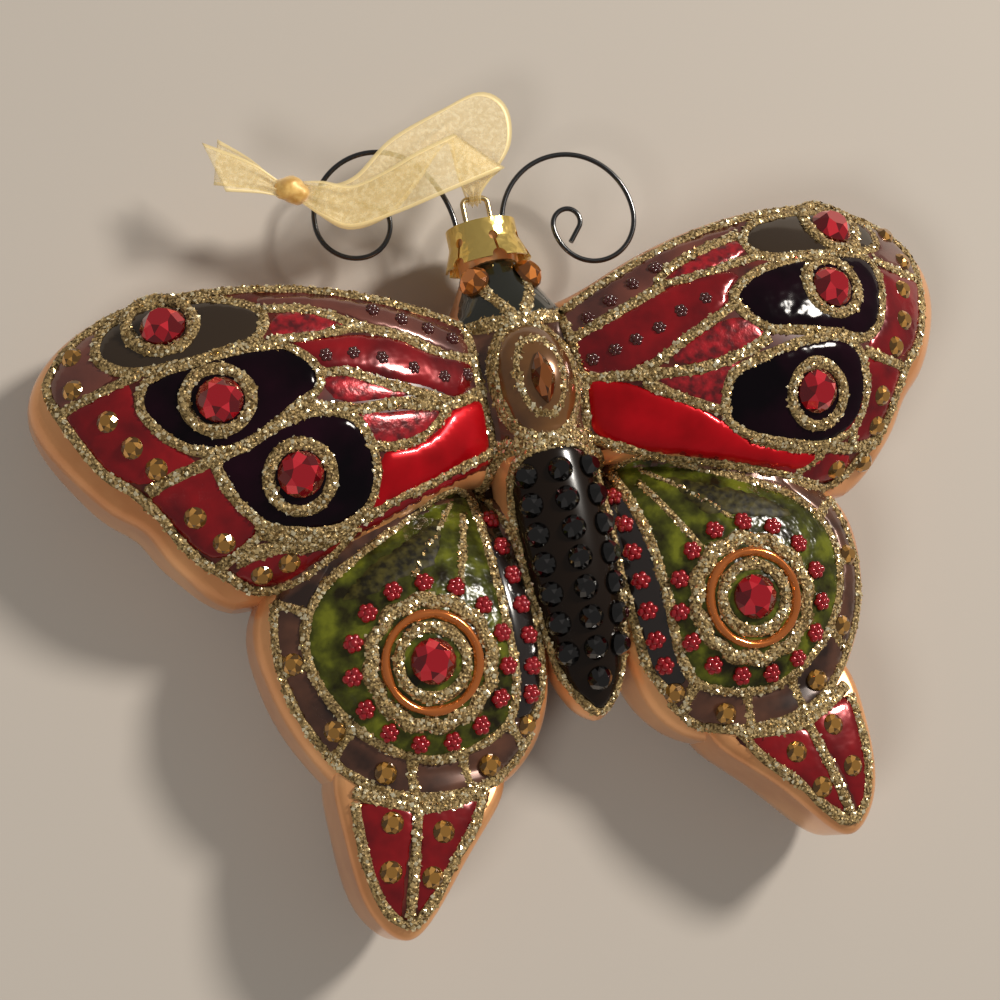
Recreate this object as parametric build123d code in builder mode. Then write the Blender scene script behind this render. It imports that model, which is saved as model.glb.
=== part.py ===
"""Blown-glass butterfly ornament, lying on its back.

The frame: +Z points out of the painted front, +Y to the head and the hanging loop, +X to the wing
that is on the right as the front is looked at. Z = 0 is the flat back, under the thorax.
"""
import os
from math import atan2, cos, degrees, hypot, pi, radians, sin, sqrt

from build123d import *

os.makedirs("parts", exist_ok=True)

# Glass body
WALL = 1.2            # thickness of the blown glass on the painted front and the body
EQUATOR = 8.5         # height of the widest outline above the back
BACK_ROUND = 7.0      # how far the rounded back edge draws in
RIM_ROUND = 3.5       # rounding between the side and the painted front
TAIL_BACK = 3.0       # the tails stop short of the flat back
TAIL_BACK_ROUND = 2.6
TAIL_RIM_ROUND = 1.8

# Cavity of the glass: thicker glass gathers along the rims
CAVITY_RIM = 3.0      # glass between the cavity and the outline
CAVITY_FLOOR = 1.4    # glass at the flat back
CAVITY_FLOOR_RIM = 5.2
CAVITY_SHOULDER = 5.0  # height at which the cavity is at its full width
TAIL_BORE = ((29.0, -46.0), (33.6, -67.0))  # x and y where the tail's tapered cavity starts and ends
TAIL_BORE_RADII = (5.5, 1.8)
TAIL_BORE_AXIS = 10.5
PASSAGE_RADIUS = 2.2  # opening between the abdomen and a hindwing
PASSAGE_PLACE = -30.0
PASSAGE_AXIS = 12.6
PASSAGE_REACH = 14.0
DOME_SHARE = 0.8      # share of a dome's radius along Y that is drawn

# Wing outlines at the equator, right-hand side, with the stretch that lies inside the body
FOREWING = [
    (8.0, 11.6), (17.0, 14.6), (28.0, 18.2), (39.0, 20.4), (50.0, 21.2), (60.4, 19.2), (68.2, 14.2),
    (71.5, 8.0), (70.2, 1.2), (66.8, -4.8), (62.8, -9.8), (59.6, -12.6), (57.6, -16.0), (54.6, -20.0),
    (50.8, -23.8), (45.5, -25.6), (36.0, -21.6), (25.0, -17.6), (13.0, -14.2), (4.5, -13.0), (0.5, -9.0),
    (-1.0, -1.5), (0.5, 6.0), (3.5, 10.2),
]
HINDWING = [
    (30.0, -14.6), (41.0, -20.6), (46.8, -28.0), (46.9, -35.5), (45.0, -43.0), (41.8, -49.5), (37.5, -55.0),
    (30.0, -58.3), (22.0, -58.6), (14.5, -56.6), (8.8, -51.0), (6.4, -44.0), (5.6, -33.0), (5.8, -21.0),
    (9.4, -13.6), (18.0, -11.6),
]
TAIL = [
    (39.8, -50.0), (40.8, -58.0), (40.4, -66.0), (38.4, -72.2), (34.6, -75.3), (30.2, -72.6), (25.4, -67.2),
    (20.4, -62.2), (16.2, -56.8), (18.0, -49.0), (29.0, -45.0),
]

# Domed fronts: centre x and y, height of the crown, radius along X, radius along Y
FOREWING_DOME = (36.0, -1.0, 26.0, 56.0, 30.0)
HINDWING_DOME = (25.0, -36.0, 23.5, 36.0, 32.0)
TAIL_DOME = (30.0, -63.0, 20.0, 48.0, 42.0)

# Body: lathe-turned forms, each on its own axis along Y
THORAX_AXIS = 16.0
THORAX_RADIUS = 7.6
THORAX_CENTRE = -1.0
THORAX_HALF_LENGTH = 9.8
ABDOMEN_AXIS = 14.6
ABDOMEN_RADIUS = 8.2
ABDOMEN_TOP = -8.0
ABDOMEN_WIDEST = -24.0
ABDOMEN_TIP = -51.0
ABDOMEN_ANGLES = (-86, -70, -50, -25, 0, 20, 35, 50)  # where its outline is drawn, round an ellipse
PAD_RADIUS = 9.0      # flat under the thorax, where the wings' rounded backs meet
PAD_HEIGHT = 8.0
NECK_AXIS = 10.5
NECK_RADIUS = 4.6
NECK_END = 25.0
NECK_START = 19.5
HEAD_RADIUS = 8.8
HEAD_WIDEST = 9.0

# Stones: flat-backed and glued, so a film of glue parts each from the glass
GLUE = 0.05
RED_STONE = 6.6
RED_STONE_HEIGHT = 2.6
AMBER_STONE = 3.2
AMBER_STONE_HEIGHT = 1.1
BLACK_STONE = 3.7
BLACK_STONE_HEIGHT = 1.7
EYE_STONE = 4.8
EYE_STONE_HEIGHT = 2.0
MARQUISE_WIDTH = 3.6
MARQUISE_LENGTH = 8.4
MARQUISE_HEIGHT = 1.8
GIRDLE_SHARE = 0.3    # share of a stone's height that stands straight
TABLE_SHARE = 0.55    # share of a stone's width that is its flat table

# Where the stones sit, as x and y on the front
RED_STONES = {
    "upper_stone": ((-51.8, 15.2), (53.2, 15.4)),
    "middle_stone": ((-47.1, 2.7), (48.0, 5.2)),
    "lower_stone": ((-38.2, -9.2), (41.6, -9.9)),
}
HIND_STONE = (24.8, -38.2)
LEFT_FOREWING_AMBER = [
    (-64.4, 14.0), (-65.4, 9.0), (-62.0, 3.2), (-59.6, -1.2), (-57.0, -4.8), (-53.0, -12.2), (-49.6, -16.2),
    (-44.8, -21.2), (-40.9, -20.4),
]
RIGHT_FOREWING_AMBER = [
    (65.0, 14.2), (65.6, 9.2), (62.6, 4.2), (60.8, -0.8), (57.8, -4.8), (53.8, -11.8), (52.6, -16.0),
    (50.6, -20.9), (45.4, -21.2),
]
HINDWING_AMBER = [(11.6, -49.4), (39.4, -44.8), (43.2, -34.6)]
SEAM_AMBER = [(18.4, -54.0, 18.5), (33.6, -52.0, 19.1)]  # level, over the hollow seam of hindwing and tail
TAIL_AMBER = [(27.4, -61.6), (34.2, -58.9), (30.2, -67.4), (35.8, -65.4)]
ABDOMEN_ROWS = 8
ABDOMEN_ROW_START = -14.6
ABDOMEN_ROW_PITCH = 4.35
ABDOMEN_COLUMN_ANGLE = 37.0
EYE_PLACE = (3.9, 16.0)
EYE_GLUE = 0.25       # the eyes sit over the hollow curve to the neck
MARQUISE_PLACE = -0.8

# Raised glitter lines: they stand on the glass as the stones do
LINE_WIDTH = 1.9
LINE_RISE = 0.55
STONE_RING = 4.45     # middle of the ring round a red stone
HIND_RINGS = (4.9, 8.7)  # middles of the two rings round a hindwing stone
ORANGE_RING = 6.7     # middle of the smooth ring between those two
ORANGE_WIDTH = 0.8
ORANGE_RISE = 1.0
EYESPOTS = {
    "left": [
        [(-61.4, 13.7), (-59.1, 17.4), (-53.4, 19.3), (-46.0, 18.8), (-40.5, 16.8), (-38.2, 14.2), (-40.2, 10.9),
         (-45.2, 9.6), (-51.4, 9.1), (-57.0, 9.3), (-60.2, 11.0)],
        [(-57.5, 3.9), (-56.0, 7.4), (-51.4, 8.6), (-45.2, 9.2), (-40.6, 9.5), (-36.4, 8.8), (-33.0, 5.4),
         (-33.4, 2.1), (-37.0, 0.1), (-40.6, -2.0), (-45.2, -4.0), (-48.8, -4.2), (-52.4, -3.0), (-55.5, -0.2)],
        [(-49.0, -5.4), (-48.3, -9.4), (-46.2, -12.5), (-43.6, -15.1), (-39.0, -16.6), (-33.9, -17.1),
         (-29.2, -15.1), (-27.2, -11.5), (-27.4, -6.3), (-29.2, -2.9), (-32.8, -1.4), (-36.4, -1.4),
         (-40.6, -2.4), (-44.7, -4.2)],
    ],
    "right": [
        [(36.8, 15.0), (40.1, 17.8), (45.7, 18.9), (51.4, 19.3), (57.2, 18.6), (61.2, 16.6), (62.0, 13.8),
         (60.0, 11.6), (53.4, 11.1), (47.3, 11.1), (40.6, 11.4), (37.6, 12.6)],
        [(31.8, 6.0), (34.9, 8.6), (39.0, 9.9), (45.7, 10.7), (52.4, 10.8), (57.2, 9.8), (58.4, 6.5),
         (57.4, 2.9), (55.2, -1.2), (51.4, -3.0), (46.8, -1.7), (41.1, -0.7), (35.9, 0.3), (32.9, 2.9)],
        [(26.9, -9.4), (28.7, -5.5), (33.9, -3.8), (39.0, -2.7), (45.7, -2.2), (49.8, -4.0), (51.1, -7.9),
         (50.6, -12.0), (48.3, -15.6), (43.2, -17.5), (37.0, -16.6), (31.3, -14.8), (27.7, -12.5)],
    ],
}
VEINS = {
    "left": [
        [(-38.2, 14.2), (-28.6, 12.6), (-20.0, 8.8), (-10.0, 4.3)],
        [(-33.4, 3.4), (-25.1, 2.1), (-13.0, -2.3)],
        [(-29.2, -2.0), (-17.4, -2.4), (-9.0, -0.9)],
        [(-27.4, -6.8), (-20.5, -7.0), (-14.3, -3.1)],
        [(-29.2, -15.4), (-20.0, -13.4), (-9.0, -10.0)],
    ],
    "right": [
        [(36.8, 15.4), (25.1, 12.9), (20.0, 9.0), (9.6, 5.2)],
        [(31.8, 5.0), (22.6, 0.9), (14.4, -2.4)],
        [(33.6, -1.4), (24.1, -3.7), (9.4, -1.6)],
        [(27.0, -10.4), (20.0, -6.9), (15.9, -4.0)],
        [(34.0, -19.6), (22.6, -16.4), (9.4, -10.8)],
    ],
}

# Crown cap and wires
CAP_CLEARANCE = 0.3
CAP_WALL = 0.45
CAP_TOP_THICKNESS = 0.6
CAP_SKIRT = 5.6       # length of the cap along the neck
CAP_FLARE = 1.3       # how far the scalloped hem stands out
CAP_FLARE_LENGTH = 3.4
CAP_SLOTS = 6
KEYHOLE = 1.4
SLIT = 0.4
NOTCH = 2.2           # width of the gap between two scallops at the hem
WIRE = 0.8
WIRE_CLEARANCE = 0.15
LOOP_HALF_WIDTH = 2.0
LOOP_REACH = 4.4      # from the cap's top to the middle of the loop's bar
LOOP_CORNER = 0.9
LEG_DEPTH = 10.0      # how far the sprung legs reach into the neck
LEG_GAP = 0.2         # between the sprung legs and the bore
ANTENNA_WIRE = 0.8
ANTENNA_FOOT = 3.7
ANTENNA_CLEARANCE = 0.1
ANTENNA_END = 2.8     # straight end inside the curl

# Antenna curls, from the cap outwards: the radius of each arc and its turn in degrees
RIGHT_ARCS = [
    (5.0, -17.0), (11.4, -73.0), (10.2, -90.0), (7.2, -90.0), (6.2, -90.0), (2.6, -90.0), (1.9, -130.0),
]
LEFT_DROOP = 12.0     # the left curl hangs back, under the ribbon, in degrees
LEFT_ARCS = [(17.0, 40.0), (9.5, 50.0), (9.6, 90.0), (6.2, 90.0), (5.0, 90.0), (2.4, 70.0)]

# Ribbon: its solid stands for the woven band with its loft
RIBBON_SOLID = 0.5
BIGHT_WIDTH = 2.0
BIGHT_GAP = 0.35      # between the bight and the wire that it goes round
KNOT_CENTRE = (-28.2, 34.3, 13.0)
KNOT_LENGTH = 5.4
KNOT_WIDTH = 4.4
KNOT_TURN = -28.0     # heading of the band through the knot, in degrees
KNOT_ANGLES = (-80, -50, 0, 50, 80)  # where its outline is drawn, in degrees round an ellipse

# Each station of a band: the two edges as x, y and z, and the way its face looks
FRONT_BAND = [
    ((-2.3, 32.4, 12.3), (2.7, 32.2, 12.3), (0, 0, 1)),
    ((-2.6, 39.4, 12.7), (4.2, 33.0, 12.7), (0, 0, 1)),
    ((-2.3, 39.8, 13.4), (4.6, 33.3, 13.4), (-0.68, -0.73, 0)),
    ((-2.6, 39.4, 14.1), (4.2, 33.0, 14.1), (0, 0, -1)),
    ((-9.0, 37.2, 14.4), (-5.0, 30.6, 14.4), (0, 0, -1)),
    ((-13.8, 35.2, 14.0), (-13.0, 28.6, 13.6), (0, 0, -1)),
    ((-19.0, 33.8, 13.4), (-20.4, 27.4, 13.4), (0, 0, -1)),
    ((-23.4, 35.0, 13.4), (-24.4, 29.4, 13.6), (0, 0, -1)),
    ((-26.4, 35.4, 13.2), (-27.0, 32.0, 13.2), (0, 0, -1)),
]
BACK_BAND = [
    ((-2.0, 33.0, 11.4), (3.0, 32.6, 11.4), (0, 0, 1)),
    ((-2.4, 37.0, 11.9), (7.4, 37.4, 11.9), (0, 0, 1)),
    ((-2.6, 38.8, 11.9), (8.0, 43.2, 12.1), (0, 0, 1)),
    ((-3.2, 38.6, 11.9), (4.2, 46.2, 12.2), (0, 0, 1)),
    ((-5.0, 37.0, 11.9), (-2.6, 44.0, 12.2), (0, 0, 1)),
    ((-8.6, 33.2, 11.9), (-11.6, 40.4, 12.2), (0, 0, 1)),
    ((-14.0, 28.8, 11.9), (-18.0, 35.6, 12.1), (0, 0, 1)),
    ((-21.0, 27.6, 12.0), (-22.6, 34.6, 12.2), (0, 0, 1)),
    ((-26.8, 32.2, 12.6), (-26.6, 35.2, 12.6), (0, 0, 1)),
]
FRONT_END = [
    ((-29.4, 33.2, 13.4), (-30.0, 36.0, 13.4), (0, 0, 1)),
    ((-33.0, 34.2, 13.8), (-34.0, 39.4, 13.8), (0, 0, 1)),
    ((-38.2, 35.0, 14.4), (-40.2, 43.2, 13.4), (0, 0, 1)),
]
BACK_END = [
    ((-29.4, 33.4, 12.6), (-30.0, 36.0, 12.6), (0, 0, 1)),
    ((-33.0, 35.2, 12.4), (-33.2, 40.0, 12.4), (0, 0, 1)),
    ((-39.4, 37.0, 11.6), (-37.4, 43.8, 12.2), (0, 0, 1)),
]


def anticlockwise(points):
    """The same outline, turned so that its inside is on the left."""
    area = sum(a[0] * b[1] - b[0] * a[1] for a, b in zip(points, points[1:] + points[:1]))
    return points if area > 0 else points[::-1]


def inset_points(points, distance):
    """Points of a closed anticlockwise outline, moved inwards along their normals."""
    moved = []
    for index, (x, y) in enumerate(points):
        before = points[index - 1]
        after = points[(index + 1) % len(points)]
        run_x = after[0] - before[0]
        run_y = after[1] - before[1]
        run = hypot(run_x, run_y)
        moved.append((x - distance * run_y / run, y + distance * run_x / run))
    return moved


def dome_form(dome, inset):
    """A barrel whose crown is the domed front, turned on an axis along Y; inset lowers the crown."""
    centre_x, centre_y, crown, radius_x, radius_y = dome
    radius_x -= inset
    radius_y -= inset
    axis_height = crown - inset - radius_x
    half_length = radius_y * DOME_SHARE
    end_radius = radius_x - radius_y + sqrt(radius_y**2 - half_length**2)
    start = (centre_x + end_radius, centre_y - half_length)
    end = (centre_x + end_radius, centre_y + half_length)
    with BuildPart() as form:
        with BuildSketch(Plane.XY.offset(axis_height)):
            with BuildLine():
                Polyline(start, (centre_x, start[1]), (centre_x, end[1]), end)
                ThreePointArc(start, (centre_x + radius_x, centre_y), end)
            make_face()
        revolve(axis=Axis((centre_x, 0, axis_height), (0, 1, 0)))
    return form.part


def wing_face(outline, inset, height):
    """The face inside a wing's outline, drawn in by an inset, at a height."""
    with BuildSketch(Plane.XY.offset(height)) as sketch:
        with BuildLine():
            Spline(*inset_points(anticlockwise(outline), inset), periodic=True)
        make_face()
    return sketch.sketch


def wing_form(outline, dome, back, back_round, rim_round):
    """A blown pillow: rounded back, straight side at the equator, domed front with a rounded rim."""
    with BuildPart() as form:
        for share in (1.0, 0.8, 0.45, 0.0):
            draw = back_round * (1 - sqrt(1 - share**2))
            add(wing_face(outline, draw, EQUATOR - share * (EQUATOR - back)))
        loft()
        add(wing_face(outline, 0, EQUATOR))
        extrude(amount=dome[2] - EQUATOR)
        add(dome_form(dome, 0), mode=Mode.INTERSECT)
        front = form.faces().sort_by(Axis.Z)[-1]
        fillet(front.edges(), rim_round)
    return form.part


def wing_cavity(outline, dome):
    """The hollow of a wing: narrow at the flat back, then straight up to the domed front."""
    with BuildPart() as form:
        add(wing_face(outline, CAVITY_FLOOR_RIM, CAVITY_FLOOR))
        add(wing_face(outline, CAVITY_RIM, CAVITY_SHOULDER))
        loft()
        add(wing_face(outline, CAVITY_RIM, CAVITY_SHOULDER))
        extrude(amount=dome[2] - CAVITY_SHOULDER)
        add(dome_form(dome, WALL), mode=Mode.INTERSECT)
    return form.part


def tail_cavity():
    """The hollow of a tail, tapered from the hindwing's hollow to the tip."""
    root, tip = [Vector(x, y, TAIL_BORE_AXIS) for x, y in TAIL_BORE]
    root_radius, tip_radius = TAIL_BORE_RADII
    with BuildPart() as form:
        with Locations(Plane(origin=root, z_dir=tip - root)):
            Cone(root_radius, tip_radius, (tip - root).length, align=(Align.CENTER, Align.CENTER, Align.MIN))
    return form.part


def passage_form():
    """The opening between the abdomen's hollow and a hindwing's."""
    with BuildPart() as form:
        with Locations((0, PASSAGE_PLACE, PASSAGE_AXIS)):
            Cylinder(
                PASSAGE_RADIUS,
                PASSAGE_REACH,
                rotation=(0, 90, 0),
                align=(Align.CENTER, Align.CENTER, Align.MIN),
            )
    return form.part


def thorax_form(inset):
    """An egg on the thorax axis."""
    with BuildPart() as form:
        with BuildSketch(Plane.XY.offset(THORAX_AXIS)):
            with Locations((0, THORAX_CENTRE)):
                Ellipse(THORAX_RADIUS - inset, THORAX_HALF_LENGTH - inset)
            split(bisect_by=Plane.YZ)
        revolve(axis=Axis((0, 0, THORAX_AXIS), (0, 1, 0)))
        split(bisect_by=Plane.YZ, keep=Keep.TOP)
    return form.part


def abdomen_radius(y):
    """Radius of the abdomen at a place along it: half an ellipse to each side of its widest place."""
    end = ABDOMEN_TIP if y < ABDOMEN_WIDEST else 2 * ABDOMEN_TOP - ABDOMEN_WIDEST
    share = (y - ABDOMEN_WIDEST) / (end - ABDOMEN_WIDEST)
    return ABDOMEN_RADIUS * sqrt(max(0.0, 1 - share**2))


def abdomen_form(inset):
    """A spindle on the abdomen axis, blunt inside the thorax, long to a tip with a small flat."""
    radius = ABDOMEN_RADIUS - inset
    to_tip = ABDOMEN_WIDEST - ABDOMEN_TIP - inset
    to_top = 2 * (ABDOMEN_TOP - ABDOMEN_WIDEST) - inset
    profile = []
    for angle in ABDOMEN_ANGLES:
        reach = to_tip if angle < 0 else to_top
        profile.append((radius * cos(radians(angle)), ABDOMEN_WIDEST + reach * sin(radians(angle))))
    with BuildPart() as form:
        with BuildSketch(Plane.XY.offset(ABDOMEN_AXIS)):
            with BuildLine():
                Spline(*profile)
                Polyline(profile[-1], (0, profile[-1][1]), (0, profile[0][1]), profile[0])
            make_face()
        revolve(axis=Axis((0, 0, ABDOMEN_AXIS), (0, 1, 0)))
        split(bisect_by=Plane.YZ, keep=Keep.TOP)
    return form.part


def head_radius(y):
    """Radius of the head at a place along it, a cosine ease from the shoulders to the neck."""
    share = (y - HEAD_WIDEST) / (NECK_START - HEAD_WIDEST)
    ease = (1 + cos(pi * min(1.0, max(0.0, share)))) / 2
    return NECK_RADIUS + (HEAD_RADIUS - NECK_RADIUS) * ease


def head_form(inset):
    """Shoulders, head and neck, turned on the neck's axis; the cavity runs out through the neck."""
    mouth = NECK_END + (inset if inset else 0)
    places = [HEAD_WIDEST + share * (NECK_START - HEAD_WIDEST) for share in (0, 0.25, 0.5, 0.75, 1)]
    with BuildPart() as form:
        with BuildSketch(Plane.XY.offset(NECK_AXIS)):
            with BuildLine():
                Spline(
                    *[(head_radius(y) - inset, y) for y in places],
                    tangents=[(0, 1), (0, 1)],
                )
                Polyline(
                    (NECK_RADIUS - inset, NECK_START),
                    (NECK_RADIUS - inset, mouth),
                    (0, mouth),
                    (0, 0),
                    (HEAD_RADIUS - inset, 0),
                    (HEAD_RADIUS - inset, HEAD_WIDEST),
                )
            make_face()
        revolve(axis=Axis((0, 0, NECK_AXIS), (0, 1, 0)))
        split(bisect_by=Plane.YZ, keep=Keep.TOP)
    return form.part


def pad_form():
    """The right half of the flat pad between the wings' backs."""
    with BuildPart() as form:
        with Locations((0, THORAX_CENTRE, 0)):
            Cylinder(PAD_RADIUS, PAD_HEIGHT, align=(Align.CENTER, Align.CENTER, Align.MIN))
        split(bisect_by=Plane.YZ, keep=Keep.TOP)
    return form.part


def body_forms(inset):
    """The right half of the thorax, the abdomen and the head with its neck; inset makes their hollows."""
    return [thorax_form(inset), abdomen_form(inset), head_form(inset)]


def dome_plane(dome, place):
    """The plane on a domed front at a place, with its normal out of the glass."""
    centre_x, centre_y, crown, radius_x, radius_y = dome
    x, y = place
    off_y = y - centre_y
    ring = radius_x - radius_y + sqrt(radius_y**2 - off_y**2)
    off_x = x - centre_x
    drop = sqrt(ring**2 - off_x**2)
    normal_x = off_x / ring * sqrt(1 - (off_y / radius_y) ** 2)
    normal_z = drop / ring * sqrt(1 - (off_y / radius_y) ** 2)
    normal = Vector(normal_x, off_y / radius_y, normal_z)
    point = Vector(x, y, crown - radius_x + drop) + normal * GLUE
    return Plane(origin=point, x_dir=(normal_z, 0, -normal_x), z_dir=normal)


def lathe_plane(axis_height, radius_at, y, angle):
    """The plane on a turned form at a place along it, at an angle from straight up, right way round."""
    step = 0.05
    slope = (radius_at(y + step) - radius_at(y - step)) / (2 * step)
    turn = radians(angle)
    outward = Vector(sin(turn), 0, cos(turn))
    normal = (outward - Vector(0, slope, 0)).normalized()
    point = Vector(0, y, axis_height) + outward * radius_at(y) + normal * GLUE
    return Plane(origin=point, x_dir=(cos(turn), 0, -sin(turn)), z_dir=normal)


def mirrored(place):
    """The same place on the left wing."""
    return (-place[0], place[1])


def left_dome(dome):
    """The same dome on the left wing."""
    return (-dome[0],) + dome[1:]


def round_stones(planes, width, height):
    """Flat-backed round stones, each with a straight girdle, a sloped crown and a flat table."""
    girdle = height * GIRDLE_SHARE
    base = (Align.CENTER, Align.CENTER, Align.MIN)
    with BuildPart() as stones:
        with Locations(*planes):
            Cylinder(width / 2, girdle, align=base)
        with Locations(*[plane.offset(girdle) for plane in planes]):
            Cone(width / 2, width / 2 * TABLE_SHARE, height - girdle, align=base)
    return stones.part


def ring_face(place, radius, width):
    """A flat ring round a place."""
    with BuildSketch() as sketch:
        with Locations(place):
            Circle(radius + width / 2)
            Circle(radius - width / 2, mode=Mode.SUBTRACT)
    return sketch.sketch


def forewing_lines(outline, loops, veins, stones):
    """The main glitter lines of a forewing, flat: round its eyespots, its stones and along its veins."""
    with BuildSketch() as sketch:
        for loop in loops:
            add(wing_face(loop, -LINE_WIDTH / 2, 0))
        for loop in loops:
            add(wing_face(loop, LINE_WIDTH / 2, 0), mode=Mode.SUBTRACT)
        for stone in stones:
            add(ring_face(stone, STONE_RING, LINE_WIDTH))
        for vein in veins:
            with BuildLine():
                Spline(*vein)
            trace(line_width=LINE_WIDTH)
        add(wing_face(outline, RIM_ROUND, 0), mode=Mode.INTERSECT)
    return sketch.sketch


def raised(pattern, dome, rise):
    """A flat pattern as a low relief that stands on a domed front."""
    with BuildPart() as relief:
        add(pattern)
        extrude(amount=dome[2] + rise)
        add(dome_form(dome, -rise), mode=Mode.INTERSECT)
        add(dome_form(dome, -GLUE), mode=Mode.SUBTRACT)
    return relief.part


def wire_curl(foot_x, arcs):
    """A wire that stands in the cap's top and curls in, by tangent arcs that tighten to a straight end."""
    with BuildPart() as wire:
        with BuildLine() as path:
            foot = Line((foot_x, NECK_END, NECK_AXIS), (foot_x, NECK_END + CAP_TOP_THICKNESS, NECK_AXIS))
            place = foot @ 1
            tangent = foot % 1
            for radius, turn in arcs:
                arc = JernArc(place, tangent, radius, turn)
                place = arc @ 1
                tangent = arc % 1
            Line(place, place + tangent * ANTENNA_END)
        with BuildSketch(Plane(origin=path.line @ 0, z_dir=path.line % 0)):
            Circle(ANTENNA_WIRE / 2)
        sweep()
    return wire.part


def band(stations):
    """A flat ribbon through its stations, as a thin solid."""
    with BuildPart() as strip:
        for left, right, face in stations:
            left = Vector(*left)
            right = Vector(*right)
            across = right - left
            plane = Plane(origin=(left + right) * 0.5, x_dir=across, z_dir=across.cross(Vector(*face)))
            with BuildSketch(plane):
                Rectangle(across.length, RIBBON_SOLID)
        loft(ruled=True)
    return strip.part


def save(part, name):
    """Label a finished piece and write it."""
    part.label = name
    export_step(part, f"parts/{name}.step")


# Glass body: one hollow blowing, open at the neck; the right half is mirrored to the left
with BuildPart() as hollow:
    wing_cavities = [wing_cavity(FOREWING, FOREWING_DOME), wing_cavity(HINDWING, HINDWING_DOME), tail_cavity()]
    add(wing_cavities + [passage_form()] + body_forms(WALL), clean=False)
    mirror(about=Plane.YZ)
with BuildPart() as glass_shell:
    add(
        [
            wing_form(FOREWING, FOREWING_DOME, 0, BACK_ROUND, RIM_ROUND),
            wing_form(HINDWING, HINDWING_DOME, 0, BACK_ROUND, RIM_ROUND),
            wing_form(TAIL, TAIL_DOME, TAIL_BACK, TAIL_BACK_ROUND, TAIL_RIM_ROUND),
            pad_form(),
        ]
        + body_forms(0),
        clean=False,
    )
    mirror(about=Plane.YZ)
    add(hollow.part, clean=False, mode=Mode.SUBTRACT)
save(glass_shell.part, "glass_shell")

# Red stones: three on each forewing, one on each hindwing
for spot, (left_place, right_place) in RED_STONES.items():
    left_stone = round_stones([dome_plane(left_dome(FOREWING_DOME), left_place)], RED_STONE, RED_STONE_HEIGHT)
    save(left_stone, f"left_{spot}")
    right_stone = round_stones([dome_plane(FOREWING_DOME, right_place)], RED_STONE, RED_STONE_HEIGHT)
    save(right_stone, f"right_{spot}")
for side, dome, place in (
    ("left", left_dome(HINDWING_DOME), mirrored(HIND_STONE)),
    ("right", HINDWING_DOME, HIND_STONE),
):
    save(round_stones([dome_plane(dome, place)], RED_STONE, RED_STONE_HEIGHT), f"{side}_hindwing_stone")

# Raised glitter lines on the forewings, and the rings round the hindwing stones
left_stones, right_stones = zip(*RED_STONES.values())
for side, dome, outline, stones in (
    ("left", left_dome(FOREWING_DOME), [mirrored(point) for point in FOREWING], left_stones),
    ("right", FOREWING_DOME, FOREWING, right_stones),
):
    lines = forewing_lines(outline, EYESPOTS[side], VEINS[side], stones)
    save(raised(lines, dome, LINE_RISE), f"{side}_forewing_lines")
for side, dome, place in (
    ("left", left_dome(HINDWING_DOME), mirrored(HIND_STONE)),
    ("right", HINDWING_DOME, HIND_STONE),
):
    with BuildPart() as hind_rings:
        for radius in HIND_RINGS:
            add(raised(ring_face(place, radius, LINE_WIDTH), dome, LINE_RISE))
        add(raised(ring_face(place, ORANGE_RING, ORANGE_WIDTH), dome, ORANGE_RISE))
    save(hind_rings.part, f"{side}_hindwing_rings")

# Amber stones along the margins, one group for each wing and tail
for side, dome, places in (
    ("left", left_dome(FOREWING_DOME), LEFT_FOREWING_AMBER),
    ("right", FOREWING_DOME, RIGHT_FOREWING_AMBER),
):
    planes = [dome_plane(dome, place) for place in places]
    save(round_stones(planes, AMBER_STONE, AMBER_STONE_HEIGHT), f"{side}_forewing_amber_stones")
for side, hind_dome, tail_dome, turn in (
    ("left", left_dome(HINDWING_DOME), left_dome(TAIL_DOME), mirrored),
    ("right", HINDWING_DOME, TAIL_DOME, tuple),
):
    planes = [dome_plane(hind_dome, turn(place)) for place in HINDWING_AMBER]
    planes += [Plane(turn((x, y)) + (height,)) for x, y, height in SEAM_AMBER]
    save(round_stones(planes, AMBER_STONE, AMBER_STONE_HEIGHT), f"{side}_hindwing_amber_stones")
    planes = [dome_plane(tail_dome, turn(place)) for place in TAIL_AMBER]
    save(round_stones(planes, AMBER_STONE, AMBER_STONE_HEIGHT), f"{side}_tail_amber_stones")

# Black stones in rows over the abdomen; the last row has one
abdomen_planes = []
for row in range(ABDOMEN_ROWS):
    row_place = ABDOMEN_ROW_START - row * ABDOMEN_ROW_PITCH
    columns = (-1, 0, 1) if row < ABDOMEN_ROWS - 1 else (0,)
    for column in columns:
        abdomen_planes.append(
            lathe_plane(ABDOMEN_AXIS, abdomen_radius, row_place, column * ABDOMEN_COLUMN_ANGLE)
        )
save(round_stones(abdomen_planes, BLACK_STONE, BLACK_STONE_HEIGHT), "abdomen_stones")

# Eyes
eye_angle = degrees(atan2(EYE_PLACE[0], sqrt(head_radius(EYE_PLACE[1]) ** 2 - EYE_PLACE[0] ** 2)))
for side, turn in (("left", -eye_angle), ("right", eye_angle)):
    eye_plane = lathe_plane(NECK_AXIS, head_radius, EYE_PLACE[1], turn).offset(EYE_GLUE)
    save(round_stones([eye_plane], EYE_STONE, EYE_STONE_HEIGHT), f"{side}_eye_stone")

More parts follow.
